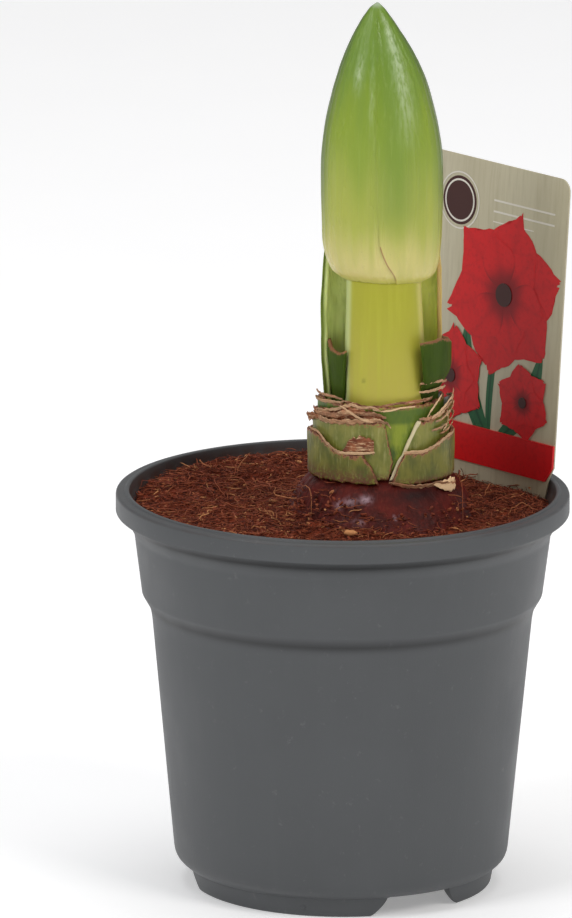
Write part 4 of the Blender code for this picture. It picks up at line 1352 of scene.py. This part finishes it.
SCRAPS = {
    "dry_flap": Scrap(OUTER_RING - 0.1, (
        (-33, 122.8, 0, 0.6), (-29, 123.6, 0.1, 2.0), (-26, 124.8, 0.2, 4.0), (-16, 125.0, 0.25, 4.4),
        (-8, 124.9, 0.15, 4.4), (-6, 124.8, 0.1, 4.0)),
        0.12, 0, 0),
    "dry_flap_crease": Scrap(OUTER_RING + 0.45, (
        (-36, 122.5, 0, 0.4), (-24, 122.7, 0.15, 0.8), (-14, 122.9, 0.15, 0.8), (-5, 123.3, 0, 0.4)),
        0.08, 0.85, 0.2),
    "outer_left_band": Scrap(OUTER_RING + 0.4, (
        (-80, 127.0, 0, 0.5), (-60, 127.0, 0.1, 0.8), (-52, 125.6, 0.2, 0.9), (-45, 124.1, 0.2, 1.0),
        (-37, 122.8, 0.15, 1.0), (-31, 122.5, 0, 0.7)),
        0.15, 0.5, 0.25),
    "outer_right_band": Scrap(OUTER_RING + 0.4, (
        (18, 122.9, 0, 0.6), (24, 122.9, 0.15, 1.1), (34, 122.9, 0.2, 1.1), (44, 123.8, 0.2, 1.0),
        (54, 124.8, 0.3, 1.1), (66, 125.7, 0.2, 1.1), (84, 126.0, 0, 0.7)),
        0.18, 0.6, 0.3),
    "middle_left_back": Scrap(MIDDLE_RING + 0.1, (
        (-92, 131.4, 0, 1.4), (-76, 131.6, 0.1, 2.0), (-60, 132.0, 0.2, 2.4), (-40, 132.6, 0.2, 3.2),
        (-24, 133.0, 0.2, 3.4), (-10, 132.8, 0.1, 2.8), (2, 131.8, 0, 1.6)),
        0.4, 0, 0.1),
    "middle_left_fold_low": Scrap(MIDDLE_RING + 0.8, (
        (-84, 130.0, 0, 0.8), (-60, 130.4, 0.3, 1.3), (-40, 130.5, 0.4, 1.4), (-22, 131.1, 0.5, 1.5),
        (-6, 131.9, 0.3, 1.3), (4, 131.0, 0.1, 0.9), (8, 129.6, 0, 0.5)),
        0.45, 0.35, 0.5),
    "middle_left_fold_mid": Scrap(MIDDLE_RING + 0.7, (
        (-78, 131.3, 0, 0.8), (-58, 131.9, 0.3, 1.3), (-42, 132.2, 0.5, 1.4), (-30, 133.2, 0.5, 1.6),
        (-18, 133.4, 0.4, 1.3), (-6, 133.4, 0.2, 0.9), (4, 132.4, 0, 0.5)),
        0.5, 0.2, 0.4),
    "middle_left_fold_high": Scrap(MIDDLE_RING + 0.4, (
        (-72, 132.2, 0, 0.5), (-56, 132.8, 0.3, 0.8), (-44, 133.6, 0.4, 0.8), (-32, 134.9, 0.4, 0.9),
        (-25, 135.5, 0.3, 0.8), (-16, 134.8, 0.2, 0.7), (-8, 135.2, 0.1, 0.6), (0, 134.0, 0, 0.4)),
        0.3, 0.55, 0.3),
    "middle_left_cross": Scrap(MIDDLE_RING + 1.1, (
        (-36, 135.0, 0, 0.4), (-28, 134.0, 0.3, 0.7), (-20, 132.6, 0.4, 0.8), (-12, 131.6, 0.3, 0.7),
        (-7, 131.2, 0, 0.4)),
        0.2, 0.7, 0.2),
    "inner_rim": Scrap(INNER_RING + 0.2, (
        (-40, 135.8, 0, 0.5), (-28, 135.5, 0.1, 0.8), (-14, 134.8, 0.2, 0.9), (0, 135.1, 0.2, 0.7),
        (12, 135.7, 0.2, 0.7), (24, 135.9, 0.2, 0.8), (38, 135.9, 0.2, 1.0), (56, 136.2, 0, 0.7)),
        0.25, 0.1, 0.2),
    "inner_pale_line": Scrap(INNER_RING + 0.6, (
        (-8, 134.2, 0, 0.3), (4, 133.9, 0.1, 0.45), (18, 134.6, 0.1, 0.45), (32, 134.7, 0, 0.3)),
        0.08, 1.0, 0),
    "right_strip_low": Scrap(MIDDLE_RING + 1.0, (
        (41, 132.0, 0, 0.7), (45, 133.6, 0.3, 1.0), (50, 135.3, 0.5, 1.1), (58, 137.1, 0.3, 0.7)),
        0.15, 0.9, 0.3),
    "right_strip_high": Scrap(MIDDLE_RING + 1.4, (
        (45, 131.4, 0, 0.7), (54, 132.9, 0.3, 1.1), (66, 134.7, 0.4, 1.1), (80, 136.1, 0.3, 0.8),
        (90, 136.7, 0.1, 0.5)),
        0.15, 0.85, 0.3),
    "right_upright": Scrap(MIDDLE_RING + 1.4, (
        (66, 132.4, 0, 0.6), (67, 130.4, 0.3, 0.9), (65, 128.6, 0.2, 0.7), (60, 127.4, 0, 0.4)),
        0.12, 0.8, 0.2),
    "right_rim": Scrap(MIDDLE_RING + 0.8, (
        (33, 131.4, 0, 0.6), (44, 131.4, 0.2, 1.0), (56, 132.0, 0.4, 1.2), (68, 133.2, 0.5, 1.3),
        (80, 134.2, 0.5, 1.3), (94, 134.6, 0.3, 1.1), (110, 134.0, 0.1, 0.7)),
        0.4, 0.3, 0.3),
    "right_mid_fold": Scrap(MIDDLE_RING + 1.3, (
        (50, 130.2, 0, 0.5), (60, 130.8, 0.3, 0.9), (72, 132.2, 0.4, 1.0), (84, 133.2, 0.3, 0.9),
        (98, 133.4, 0, 0.5)),
        0.35, 0.5, 0.4),
    "right_low_fold": Scrap(MIDDLE_RING + 1.2, (
        (46, 127.8, 0, 0.5), (58, 128.4, 0.3, 0.9), (70, 129.4, 0.4, 1.1), (84, 130.2, 0.3, 1.0),
        (98, 130.6, 0, 0.6)),
        0.35, 0.35, 0.4),
    "right_tuck": Scrap(MIDDLE_RING + 1.2, (
        (56, 126.6, 0, 0.5), (66, 127.2, 0.3, 0.8), (78, 128.4, 0.4, 1.0), (92, 128.8, 0, 0.6)),
        0.35, 0.15, 0.3),
    "right_high_fold": Scrap(RIGHT_BASE_RING + 2.6, (
        (36, 140.6, 0, 0.5), (46, 140.8, 0.2, 0.8), (60, 140.5, 0.3, 0.8), (76, 139.6, 0.2, 0.7),
        (92, 138.8, 0, 0.5)),
        0.25, 0.3, 0.3),
    "right_mid_edge": Scrap(RIGHT_BASE_RING + 2.2, (
        (36, 138.4, 0, 0.5), (48, 138.2, 0.2, 0.8), (62, 138.4, 0.4, 0.9), (76, 138.0, 0.2, 0.8),
        (90, 137.4, 0, 0.5)),
        0.3, 0.5, 0.3),
    "bottom_curl": Scrap(OUTER_RING + 0.7, (
        (6, 115.2, 0, 0.6), (16, 114.5, 0.4, 1.1), (26, 113.8, 0.6, 1.1), (38, 113.8, 0.7, 1.2),
        (48, 113.6, 0.9, 1.5), (56, 113.0, 1.2, 2.0), (64, 112.6, 1.2, 2.0), (72, 112.8, 0.6, 1.2)),
        0.35, 0.2, 0.8),
    "bottom_curl_tip": Scrap(OUTER_RING + 1.4, (
        (43, 113.8, 0.1, 0.8), (50, 113.4, 0.6, 2.0), (57, 113.1, 0.9, 3.0), (64, 113.0, 0.8, 2.8),
        (69, 113.4, 0.5, 1.4)),
        0.3, 1.0, -0.35),
    "left_curl": Scrap(MIDDLE_RING + 1.2, (
        (-58, 131.2, 0, 0.6), (-68, 130.8, 0.3, 1.4), (-78, 130.0, 0.6, 2.0), (-86, 129.2, 0.5, 1.8),
        (-94, 129.0, 0, 0.8)),
        0.4, 0.1, 0.5),
    "left_ledge": Scrap(INNER_RING + 0.9, (
        (-96, 134.2, 0, 0.6), (-84, 134.6, 0.3, 0.9), (-66, 134.9, 0.4, 0.9), (-50, 135.3, 0.3, 0.8),
        (-36, 135.8, 0, 0.5)),
        0.25, 0.5, 0.5),
    "left_ledge_high": Scrap(INNER_RING + 0.7, (
        (-94, 136.0, 0, 0.5), (-82, 136.4, 0.2, 0.8), (-66, 136.6, 0.3, 0.8), (-50, 136.8, 0.2, 0.7),
        (-38, 136.4, 0, 0.5)),
        0.25, 0.25, 0.4),
}


def scrap_shape(scrap, seed):
    """Points, faces and fields of one crumpled ribbon."""
    angles, heights, lifts, widths = np.array(scrap.path, float).T
    knots = np.arange(len(angles))
    across, up = field(16 * len(angles), 9)
    angle, height, lift, width = (
        curve_through(knots, values, across * knots[-1]) for values in (angles, heights, lifts, widths))
    width = np.maximum(width, 0.2)
    rise = up - 0.5
    spot = xyz(angle * 0.33, height, rise * width)
    torn = 1 + 0.45 * wobble(spot * np.array((1, 1, 0.1)), 0.9, 3, seed) * np.sign(rise)
    out = scrap.ring + lift + scrap.lean * rise * width + scrap.crumple * wobble(spot, 1.3, 2, seed + 1)
    bend = 0.6 * scrap.crumple * wobble(spot, 2.1, 2, seed + 2)
    middle = around(angle, out, height + rise * width * torn + bend, NECK_FLATNESS)
    return sheet(middle, 0.16, {"pale": scrap.pale})


def make_scraps(settings):
    """Torn and dried tissue along the sheaths' edges."""
    material = dry_paper(settings)
    for seed, (name, scrap) in enumerate(SCRAPS.items()):
        piece = new_piece("scrap_" + name, material, *scrap_shape(scrap, 3 * seed))
        finish_piece(piece, "sheath")


def by_share(bottom, top, angles):
    """Pairs of height and angle, evenly spaced from bottom to top."""
    return tuple(zip(np.linspace(bottom, top, len(angles)), angles))


LEAVES = {
    "leaf_left": Wrap(
        LEAF_RING, 1.8, (131, 150, 1.0), 117.3,
        by_share(117.3, 187, (-166, -166, -164, -160, -148, -139)),
        by_share(117.3, 187, (-62, -80, -86, -92, -108, -126)),
        ((-166, 187), (-62, 187)), 90, 110),
    "leaf_right": Wrap(
        RIGHT_LEAF_RING, 1.2, (134, 152, 2.3), 117.6,
        by_share(117.6, 182, (86, 84, 86, 88, 98, 124)),
        by_share(117.6, 182, (166, 166, 164, 158, 147, 138)),
        ((84, 182), (166, 182)), 90, 110),
    "leaf_base_left": Wrap(
        LEFT_BASE_RING, 1.2, (131, 147, 1.5), 117.8,
        by_share(117.8, 150, (-122, -122, -120, -116)),
        by_share(117.8, 149, (-64, -58, -48, -42)),
        ((-122, 150.6), (-80, 150.4), (-70, 149.0), (-60, 148.2), (-50, 148.0), (-42, 149.0)), 70, 70),
    "leaf_base_right": Wrap(
        RIGHT_BASE_RING, 1.1, (135.5, 144, 3.4), 116.9,
        by_share(116.9, 152, (62, 56, 46, 38, 34)),
        by_share(116.9, 149, (152, 152, 152, 150, 146)),
        ((34, 152.0), (60, 152.2), (90, 149.8), (152, 149.0)), 80, 70),
}


# How a tall leaf is pressed flat above the neck: the y it is pressed towards, what is left of its depth
PRESSED = {"leaf_left": (-14.0, 0.5), "leaf_right": (-10.0, 0.45)}


def pressed(middle, pivot, share):
    """A leaf's points pressed towards a plane above the neck, less so behind the bud."""
    height = middle[..., 2]
    left_over = 1 + (share - 1) * smooth(122.0, 138.0, height) * (1 - 0.6 * smooth(160.0, 172.0, height))
    middle = middle.copy()
    middle[..., 1] = pivot + (middle[..., 1] - pivot) * left_over
    return middle


def make_leaves(settings):
    """The two tall leaves and the two cut leaf bases."""
    colours = {
        # The tall leaves' inside colours carry painted light
        "leaf_left": (settings.outside, settings.inside, settings.deep),
        "leaf_right": (settings.deep, settings.right_inside, settings.deep),
        "leaf_base": (settings.base_outside, settings.base_inside, settings.base_deep),
    }
    skins = {name: leaf_skin(settings, name + "_skin", *three) for name, three in colours.items()}
    for seed, (name, wrap) in enumerate(LEAVES.items()):
        tall = name in PRESSED
        middle, top, left, _ = wrap_grid(wrap, 0.1 if tall else 0.25, 60 + 5 * seed)
        if tall:
            middle = pressed(middle, *PRESSED[name])
        fields = {"edge": FAR if tall else top, "margin": left if name == "leaf_right" else FAR}
        skin = skins[name if tall else "leaf_base"]
        piece = new_piece(name.replace("leaf", "foliage"), skin, *sheet(middle, wrap.thickness, fields))
        finish_piece(piece, "leaf", name)


# Scape

def make_scape(settings):
    """The flower stem: an oval with softly squared sides."""
    heights = np.linspace(SCAPE_LOW.z, SCAPE_HIGH.z + 0.8, SCAPE_ROWS)[:, None]
    left = table(((118, -0.3), (133.5, 0.2), (165, 0.6)), heights)
    right = table(((118, 22.0), (133.5, 22.3), (165, 20.4)), heights)
    half = (right - left) / 2
    centre = (right + left) / 2
    turn = np.linspace(0, 2 * np.pi, SCAPE_COLUMNS, endpoint=False)[None, :]
    x = centre + half * np.sign(np.sin(turn)) * np.abs(np.sin(turn)) ** SCAPE_POWER
    y = SCAPE_Y - half * SCAPE_FLATNESS * np.sign(np.cos(turn)) * np.abs(np.cos(turn)) ** SCAPE_POWER
    rings = xyz(x, y, heights)
    rings[..., 0] += 0.10 * wobble(rings * np.array((1, 1, 0.12)), 2.6, 2, 40)
    front = np.cos(turn) > 0
    fields = {
        # Painted light: pale strips along the front of the stem's left and right edges
        "left_edge": (1 - smooth(0.6, 1.7, x - left)) * front,
        "right_edge": (1 - smooth(0.4, 1.8, right - x)) * front,
        "speck": hump(x, 5.3, 0.35) * hump(heights, 141.4, 0.35) * front,
    }
    scape = new_piece("flower_stem", scape_skin(settings), *closed_skin(rings, fields))
    finish_piece(scape, "stem", "scape")


# Bud

def valve_shape(side, settings):
    """Points, faces and fields of one spathe valve, solid to the bud's axis."""
    bottom = BUD_OUTLINE[0][0]
    heights = bottom + (BUD_TIP_HEIGHT - bottom) * np.linspace(0, 1, VALVE_ROWS)[:, None] ** 0.85
    knots, lefts, rights = zip(*BUD_OUTLINE)
    left = curve_through(knots, lefts, heights)
    right = curve_through(knots, rights, heights)
    half = (right - left) / 2
    centre = (right + left) / 2
    seam = curve_through(*zip(*BUD_SEAM), heights)
    seam_angle = np.degrees(np.arcsin(np.clip((seam - centre) / half, -0.9, 0.9)))
    across = np.linspace(0, 1, VALVE_COLUMNS)[None, :]
    angle = seam_angle + (side * 180 - seam_angle) * across
    relief = settings.relief / MM
    fade = smooth(BUD_TIP_HEIGHT, BUD_TIP_HEIGHT - 16, heights)
    upper = fade * smooth(178.0, 205.0, heights)
    folds = relief * upper * sum(share * hump(angle, place, width) for place, width, share in BUD_FOLDS)
    folds += relief * fade * 0.18 * np.sin(np.radians(angle) * 34)
    lip = 0.3 * hump(across, 0.0, 0.035) * side * (1 - smooth(176.0, 186.0, heights))
    turn = np.radians(angle)
    reach = 1 + (folds + lip) / np.maximum(half, 2)
    x = centre + half * np.sin(turn) * reach
    y = SCAPE_Y - half * BUD_FLATNESS * np.cos(turn) * reach
    skin = xyz(x, y, heights)
    rough = 0.07 * wobble(skin * np.array((1, 1, 0.1)), 1.4, 2, 50)
    skin = skin + xyz(np.sin(turn) * rough, -np.cos(turn) * rough, 0.0)
    axis = xyz(centre + side * 0.03, SCAPE_Y, heights)
    seam_distance = np.abs(x - seam) + FAR * smooth(178.0, 184.0, heights)
    # Painted highlights on the upper right and upper left of the bud
    bloom = 0.5 * hump(angle, 28, 10) * smooth(200, 222, heights) * smooth(240, 234, heights)
    bloom += 0.5 * hump(angle, -31, 6) * hump(heights, 224.0, 4.0)
    bloom += 0.25 * hump(angle, -11, 3) * hump(heights, 218.0, 9.0)
    # Painted shade, darker towards the bud's sides
    keel = 0.75 * smooth(52, 84, np.abs(angle)) * smooth(150, 100, np.abs(angle))

    def with_axis(values, on_axis=0.0):
        """A field on the skin, with its value on the bud's axis."""
        return np.concatenate([values, np.full(heights.shape, on_axis)], axis=1)

    return closed_skin(np.concatenate([skin, axis], axis=1), {
        "bloom": with_axis(bloom), "seam": with_axis(seam_distance, FAR),
        "middle": with_axis(hump(angle, 14, 24)), "keel": with_axis(keel)})


def make_bud(settings):
    """The two spathe valves that close round the flower buds."""
    skin = spathe_skin(settings)
    for name, side in (("spathe_left", -1), ("spathe_right", 1)):
        valve = new_piece(name.replace("spathe", "bud_valve"), skin, *valve_shape(side, settings))
        valve.data.set_sharp_from_angle(angle=math.radians(50))
        finish_piece(valve, "spathe", name)


# Plant label

LABEL_ACROSS = np.array((math.cos(LABEL_YAW), -math.sin(LABEL_YAW), 0.0))
LABEL_BACK = np.array((math.sin(LABEL_YAW), math.cos(LABEL_YAW), 0.0))
LABEL_UP = LABEL_BACK * math.sin(LABEL_LEAN) + np.array((0.0, 0.0, math.cos(LABEL_LEAN)))
LABEL_FRONT = np.cross(LABEL_ACROSS, LABEL_UP)
INK = 0.03
PETALS = 6
PETAL_RUFFLE = 0.11


def on_label(across, up, lift):
    """Points on the label's front, lifted off its middle plane."""
    across, up, lift = (np.asarray(value, float)[..., None] for value in (across, up, lift))
    base = np.array((LABEL_X, LABEL_Y, LABEL_FIX_HEIGHT))
    return base + across * LABEL_ACROSS + up * LABEL_UP + lift * LABEL_FRONT


def label_outline():
    """Outline of the card from its rounded top corners down to its stake."""
    right = []
    for turn in np.radians(np.linspace(90, 0, 9)):
        right.append((LABEL_HALF_WIDTH - LABEL_CORNER * (1 - math.cos(turn)),
                      LABEL_TOP - LABEL_CORNER * (1 - math.sin(turn))))
    right += [
        (LABEL_HALF_WIDTH, 0.0),
        (LABEL_HALF_WIDTH - 1.7, -3.2),
        (LABEL_HALF_WIDTH - 2.8, -9.0),
        (LABEL_STAKE_HALF_WIDTH, -LABEL_SHOULDER_DROP),
        (0.4 * LABEL_STAKE_HALF_WIDTH, -LABEL_TIP_DROP),
    ]
    return mirrored(right)


def label_half_width(up):
    """Half the card's width at a height on it."""
    share = np.clip(-np.asarray(up, float) / LABEL_SHOULDER_DROP, 0, 1)
    return LABEL_HALF_WIDTH + (LABEL_STAKE_HALF_WIDTH - LABEL_HALF_WIDTH) * share


def plate(outline, low, high):
    """Points, faces and fields of a flat plate between two lifts off the label's plane."""
    across, up = np.array(outline).T
    return *prism(on_label(across, up, low), on_label(across, up, high)), {"tone": np.ones(2 * len(up))}


def layer_top(number):
    """Lift of a printed layer's face."""
    return LABEL_THICKNESS / 2 + INK * number


def printed_plate(outline, number):
    """A flat print that reaches down into the card."""
    return plate(outline, LABEL_THICKNESS / 2 - INK, layer_top(number))


def printed(x, y, number, tone):
    """A thin print over a grid of places, with its tone."""
    return sheet(on_label(x, y, np.full(x.shape, layer_top(number) - INK / 2)), INK, {"tone": tone})


def disc(centre, radius, number, steps=64):
    """A printed disc."""
    turns = np.linspace(0, 2 * np.pi, steps, endpoint=False)
    outline = [(centre[0] + radius * math.cos(t), centre[1] + radius * math.sin(t)) for t in turns]
    return printed_plate(outline, number)


def ring_band(centre, inner, outer, number):
    """A printed ring."""
    turns = np.linspace(0, 2 * np.pi, 73)[None, :]
    radius = np.array((inner, outer))[:, None]
    return printed(centre[0] + radius * np.cos(turns), centre[1] + radius * np.sin(turns), number, 1.0)


def petal(centre, angle, length, width, number, seed):
    """A printed petal with a ruffled end, dark where it meets the flower's middle."""
    across, up = field(15, 18)
    reach = length * (0.08 + 0.92 * up)
    swell = np.sin(np.pi * np.clip(up * 0.93 + 0.05, 0, 1)) ** 0.75 * (0.55 + 0.45 * up)
    side = (across - 0.5) * width * swell
    wave = wobble(np.stack([across * 4, up * 3, 0 * up + seed], axis=-1), 0.9, 2, seed)
    reach = reach * (1 + PETAL_RUFFLE * wave * up * up) - 0.10 * length * (2 * across - 1) ** 2 * up
    tone = smooth(0.05, 0.6, up) * (0.72 + 0.28 * (1 - hump(across, 0.5, 0.10)))
    tone = np.clip(tone - 0.25 * (np.abs(across - 0.5) > 0.44), 0, 1)
    return printed(centre[0] + reach * math.cos(angle) - side * math.sin(angle),
                   centre[1] + reach * math.sin(angle) + side * math.cos(angle), number, tone)


def blossom(centre, radius, number, seed, twist):
    """Two rows of petals round one middle."""
    parts = []
    for row, (length, width) in enumerate(((radius, 1.12 * radius), (0.72 * radius, 0.72 * radius))):
        for k in range(PETALS):
            angle = twist + (k + 0.5 * row) * math.tau / PETALS
            level = number + 2 * row + 0.5 * (k % 2) + 0.1 * k
            parts.append(petal(centre, angle, length, width, level, seed + 7 * row + k))
    return joined(parts)


def blade(start, end, width, bow, number):
    """A printed leaf or stem between two points, bowed to one side."""
    across, up = field(7, 26)
    along = np.array(end, float) - np.array(start, float)
    side = np.array((-along[1], along[0])) / np.linalg.norm(along)
    spread = (across - 0.5) * width * (np.sin(np.pi * np.clip(up, 0.02, 0.98)) ** 0.6)
    shift = bow * np.sin(np.pi * up) + spread
    x, y = (start[i] + along[i] * up + side[i] * shift for i in range(2))
    return printed(x, y, number, 0.25 + 0.75 * (1 - hump(across, 0.5, 0.12)))


def band(low, high, number):
    """A printed band across the card, as wide as the card is there."""
    corners = [(label_half_width(up) - 0.02, up) for up in (low, 0, high)]
    return printed_plate(mirrored(corners), number)


def rule(left, right, up, width, number):
    """A thin printed line across the card."""
    return printed_plate([(left, up), (right, up), (right, up + width), (left, up + width)], number)


def make_card(settings):
    """The plastic card with its softly broken edges."""
    half = LABEL_THICKNESS / 2
    card = new_piece("label_card", print_wood(settings), *plate(label_outline(), -half, half))
    bevel = card.modifiers.new("edge", "BEVEL")
    bevel.width = 0.12 * MM
    bevel.segments = 2
    bevel.limit_method = "ANGLE"
    bake_modifiers(card)
    finish_piece(card, "label_print", "plant_label")


# The seal's centre and the radii of its rings
SEAL = (-13.5, 65.5)
SEAL_RADIUS = 6.6
SEAL_RINGS = ((5.3, 5.8), (7.4, 7.8))
# The rules: right end, height on the card, width
RULES = ((24, 67.5, 0.5), (24, 64.5, 0.5), (16, 61.8, 0.3))
# The blooms: centre, radius; and the share of it that the dark eye takes
BLOOMS = ((6.0, 43.0), 22.5), ((-13.0, 18.0), 13.5), ((16.0, 15.5), 10.5)
EYE_SHARE = 0.14
# The stems and leaves behind the blooms: start, end, width, bow, layer
BLADES = (
    ((3, -2), (6, 40), 2.6, 2.0, 1), ((2, -2), (-13, 18), 2.0, -1.5, 1.2),
    ((5, -2), (16, 15), 2.0, 1.5, 1.4), ((4, 2), (-8, 34), 6.0, 4.0, 1.6),
    ((4, 2), (22, 30), 6.0, -4.0, 1.8), ((0, 0), (-24, 6), 5.0, 2.0, 2.0), ((6, 0), (25, 4), 4.5, -2.0, 2.2),
)


def make_print(settings):
    """The card's generic print: a posy of plain blooms, a band, a seal and rules, with no lettering."""
    deeper = {"red": "red_deep", "green": "green_deep", "brown": "brown", "white": "white"}
    inks = {name: print_ink("label_" + name, getattr(settings, name), getattr(settings, deep))
            for name, deep in deeper.items()}
    blooms = [blossom(*bloom, 3 + 6 * k, 20 * k, 0.3 + 0.2 * k) for k, bloom in enumerate(BLOOMS)]
    eyes = [disc(centre, EYE_SHARE * radius, 12 + 6 * k, 24) for k, (centre, radius) in enumerate(BLOOMS)]
    rings = [ring_band(SEAL, *radii, 3) for radii in SEAL_RINGS]
    rules = [rule(0, *values, 2) for values in RULES]
    prints = (
        ("leaves", "green", [blade(*values) for values in BLADES]),
        ("blooms", "red", blooms),
        ("band", "red", [band(-4.0, 6.0, 22)]),
        ("seal", "brown", [disc(SEAL, SEAL_RADIUS, 1), *eyes]),
        ("rings", "white", rings + rules),
    )
    for name, ink, parts in prints:
        piece = new_piece("label_" + name, inks[ink], *joined(parts))
        piece.data.shade_flat()
        finish_piece(piece, "label_print")


# Stage

def backdrop_shape():
    """A wide round floor whose edge curves up beyond the camera's circle round the object."""
    turns = np.linspace(0.0, math.pi / 2, 16)
    radii = np.concatenate([[0.3, 1.0, 3.0], BACKDROP_RADIUS + BACKDROP_EDGE * np.sin(turns)])
    heights = np.concatenate([[0.0, 0.0, 0.0], BACKDROP_EDGE * (1 - np.cos(turns))])
    angles = whole_turn(BACKDROP_COLUMNS)
    rings = around(angles, radii[:, None], heights[:, None], centre=(0, 0))
    faces = grid_faces(len(radii), len(angles), True)
    faces.append(tuple(range(len(angles))))
    return rings.reshape(-1, 3) / MM, faces, {}


def add_area(name, place, size, power, colour):
    """A soft square light that faces the object."""
    light = bpy.data.lights.new(name, "AREA")
    light.size = size
    light.energy = power
    light.color = colour
    obj = add_object(name, light)
    obj.location = place
    obj.rotation_euler = (LIGHT_TARGET - obj.location).to_track_quat("-Z", "Y").to_euler()


def add_camera():
    """The camera at the photograph's viewing angle."""
    back = Vector((0.0, -math.cos(CAMERA_ELEVATION), math.sin(CAMERA_ELEVATION)))
    right = Vector((1.0, 0.0, 0.0))
    up = back.cross(right)
    turned_right = right * math.cos(CAMERA_ROLL) + up * math.sin(CAMERA_ROLL)
    turned_up = up * math.cos(CAMERA_ROLL) - right * math.sin(CAMERA_ROLL)
    camera = bpy.data.cameras.new("camera")
    camera.sensor_fit = "VERTICAL"
    camera.sensor_height = CAMERA_SENSOR
    camera.lens = CAMERA_LENS
    camera.clip_end = 50.0
    obj = add_object("camera", camera)
    turn = Matrix((turned_right, turned_up, back)).transposed().to_4x4()
    obj.matrix_world = Matrix.Translation(CAMERA_TARGET + back * CAMERA_DISTANCE) @ turn
    bpy.context.scene.camera = obj


def make_stage(settings):
    """Pale floor, soft lights and the camera."""
    paper = Finish("backdrop_paper", settings.floor, 0.9, 0.0, Emission_Strength=0.27)
    paper.coat((0.8, 0.8, 0.8), paper.noise(40.0, 2.0), 0.3, 0.7, 0.0, 0.05)
    new_piece("backdrop", paper.done(), *backdrop_shape())
    add_area("left_light", (-1.4, -1.2, 1.6), 0.8, settings.side_power, (0.98, 0.99, 1.0))
    add_area("right_light", (1.3, -1.3, 1.6), 0.8, settings.side_power, (1.0, 0.98, 0.95))
    add_area("top_light", (0.0, 0.2, 1.8), 1.4, settings.top_power, (1.0, 1.0, 1.0))
    world = bpy.data.worlds.new("room")
    world.use_nodes = True
    background = world.node_tree.nodes["Background"].inputs
    background["Color"].default_value = (1.0, 1.0, 1.0, 1.0)
    background["Strength"].default_value = settings.room_light
    bpy.context.scene.world = world
    bpy.context.scene.view_settings.view_transform = "Standard"
    add_camera()


# Operators

def piece_operator(key, text, *makers):
    """An operator that runs the functions that make one group of pieces."""

    def execute(self, context):
        for make in makers:
            make(getattr(context.scene.amaryllis, key))
        return {"FINISHED"}

    return type("AMARYLLIS_OT_" + key, (Operator,), {
        "__doc__": text, "bl_idname": "amaryllis." + key, "bl_label": key.capitalize(),
        "bl_options": {"REGISTER", "UNDO"}, "execute": execute})


OPERATORS = (
    piece_operator("stage", "Add the floor, the lights and the camera", make_stage),
    piece_operator("pot", "Build the moulded grow pot", make_pot),
    piece_operator("coir", "Fill the pot with coir and strew its fibres", make_coir_bed, make_coir_litter),
    piece_operator("bulb", "Build the bulb and its tunic", make_bulb),
    piece_operator("neck", "Wrap the sheaths and their dry scraps round the neck", make_sheaths, make_scraps),
    piece_operator("leaves", "Build the tall leaves and the cut bases", make_leaves),
    piece_operator("scape", "Build the flower stem", make_scape),
    piece_operator("bud", "Build the two valves of the bud", make_bud),
    piece_operator("label", "Build the plant label and its print", make_card, make_print),
)


class AMARYLLIS_PT_panel(Panel):
    """Buttons for each group of pieces."""

    bl_label = "Potted Amaryllis"
    bl_idname = "AMARYLLIS_PT_panel"
    bl_space_type = "VIEW_3D"
    bl_region_type = "UI"
    bl_category = "Amaryllis"

    def draw(self, context):
        for operator in OPERATORS:
            self.layout.operator(operator.bl_idname)


CLASSES = (*GROUPS.values(), AmaryllisSettings, *OPERATORS, AMARYLLIS_PT_panel)


def register():
    """Add the classes and the scene's settings."""
    for cls in CLASSES:
        bpy.utils.register_class(cls)
    bpy.types.Scene.amaryllis = PointerProperty(type=AmaryllisSettings)


def unregister():
    """Take away the settings and the classes."""
    del bpy.types.Scene.amaryllis
    for cls in reversed(CLASSES):
        bpy.utils.unregister_class(cls)


def main():
    """Build every piece in order and write the sizes."""
    register()
    for operator in OPERATORS:
        getattr(bpy.ops.amaryllis, operator.bl_idname.split(".")[1])()


if __name__ == "__main__":
    main()
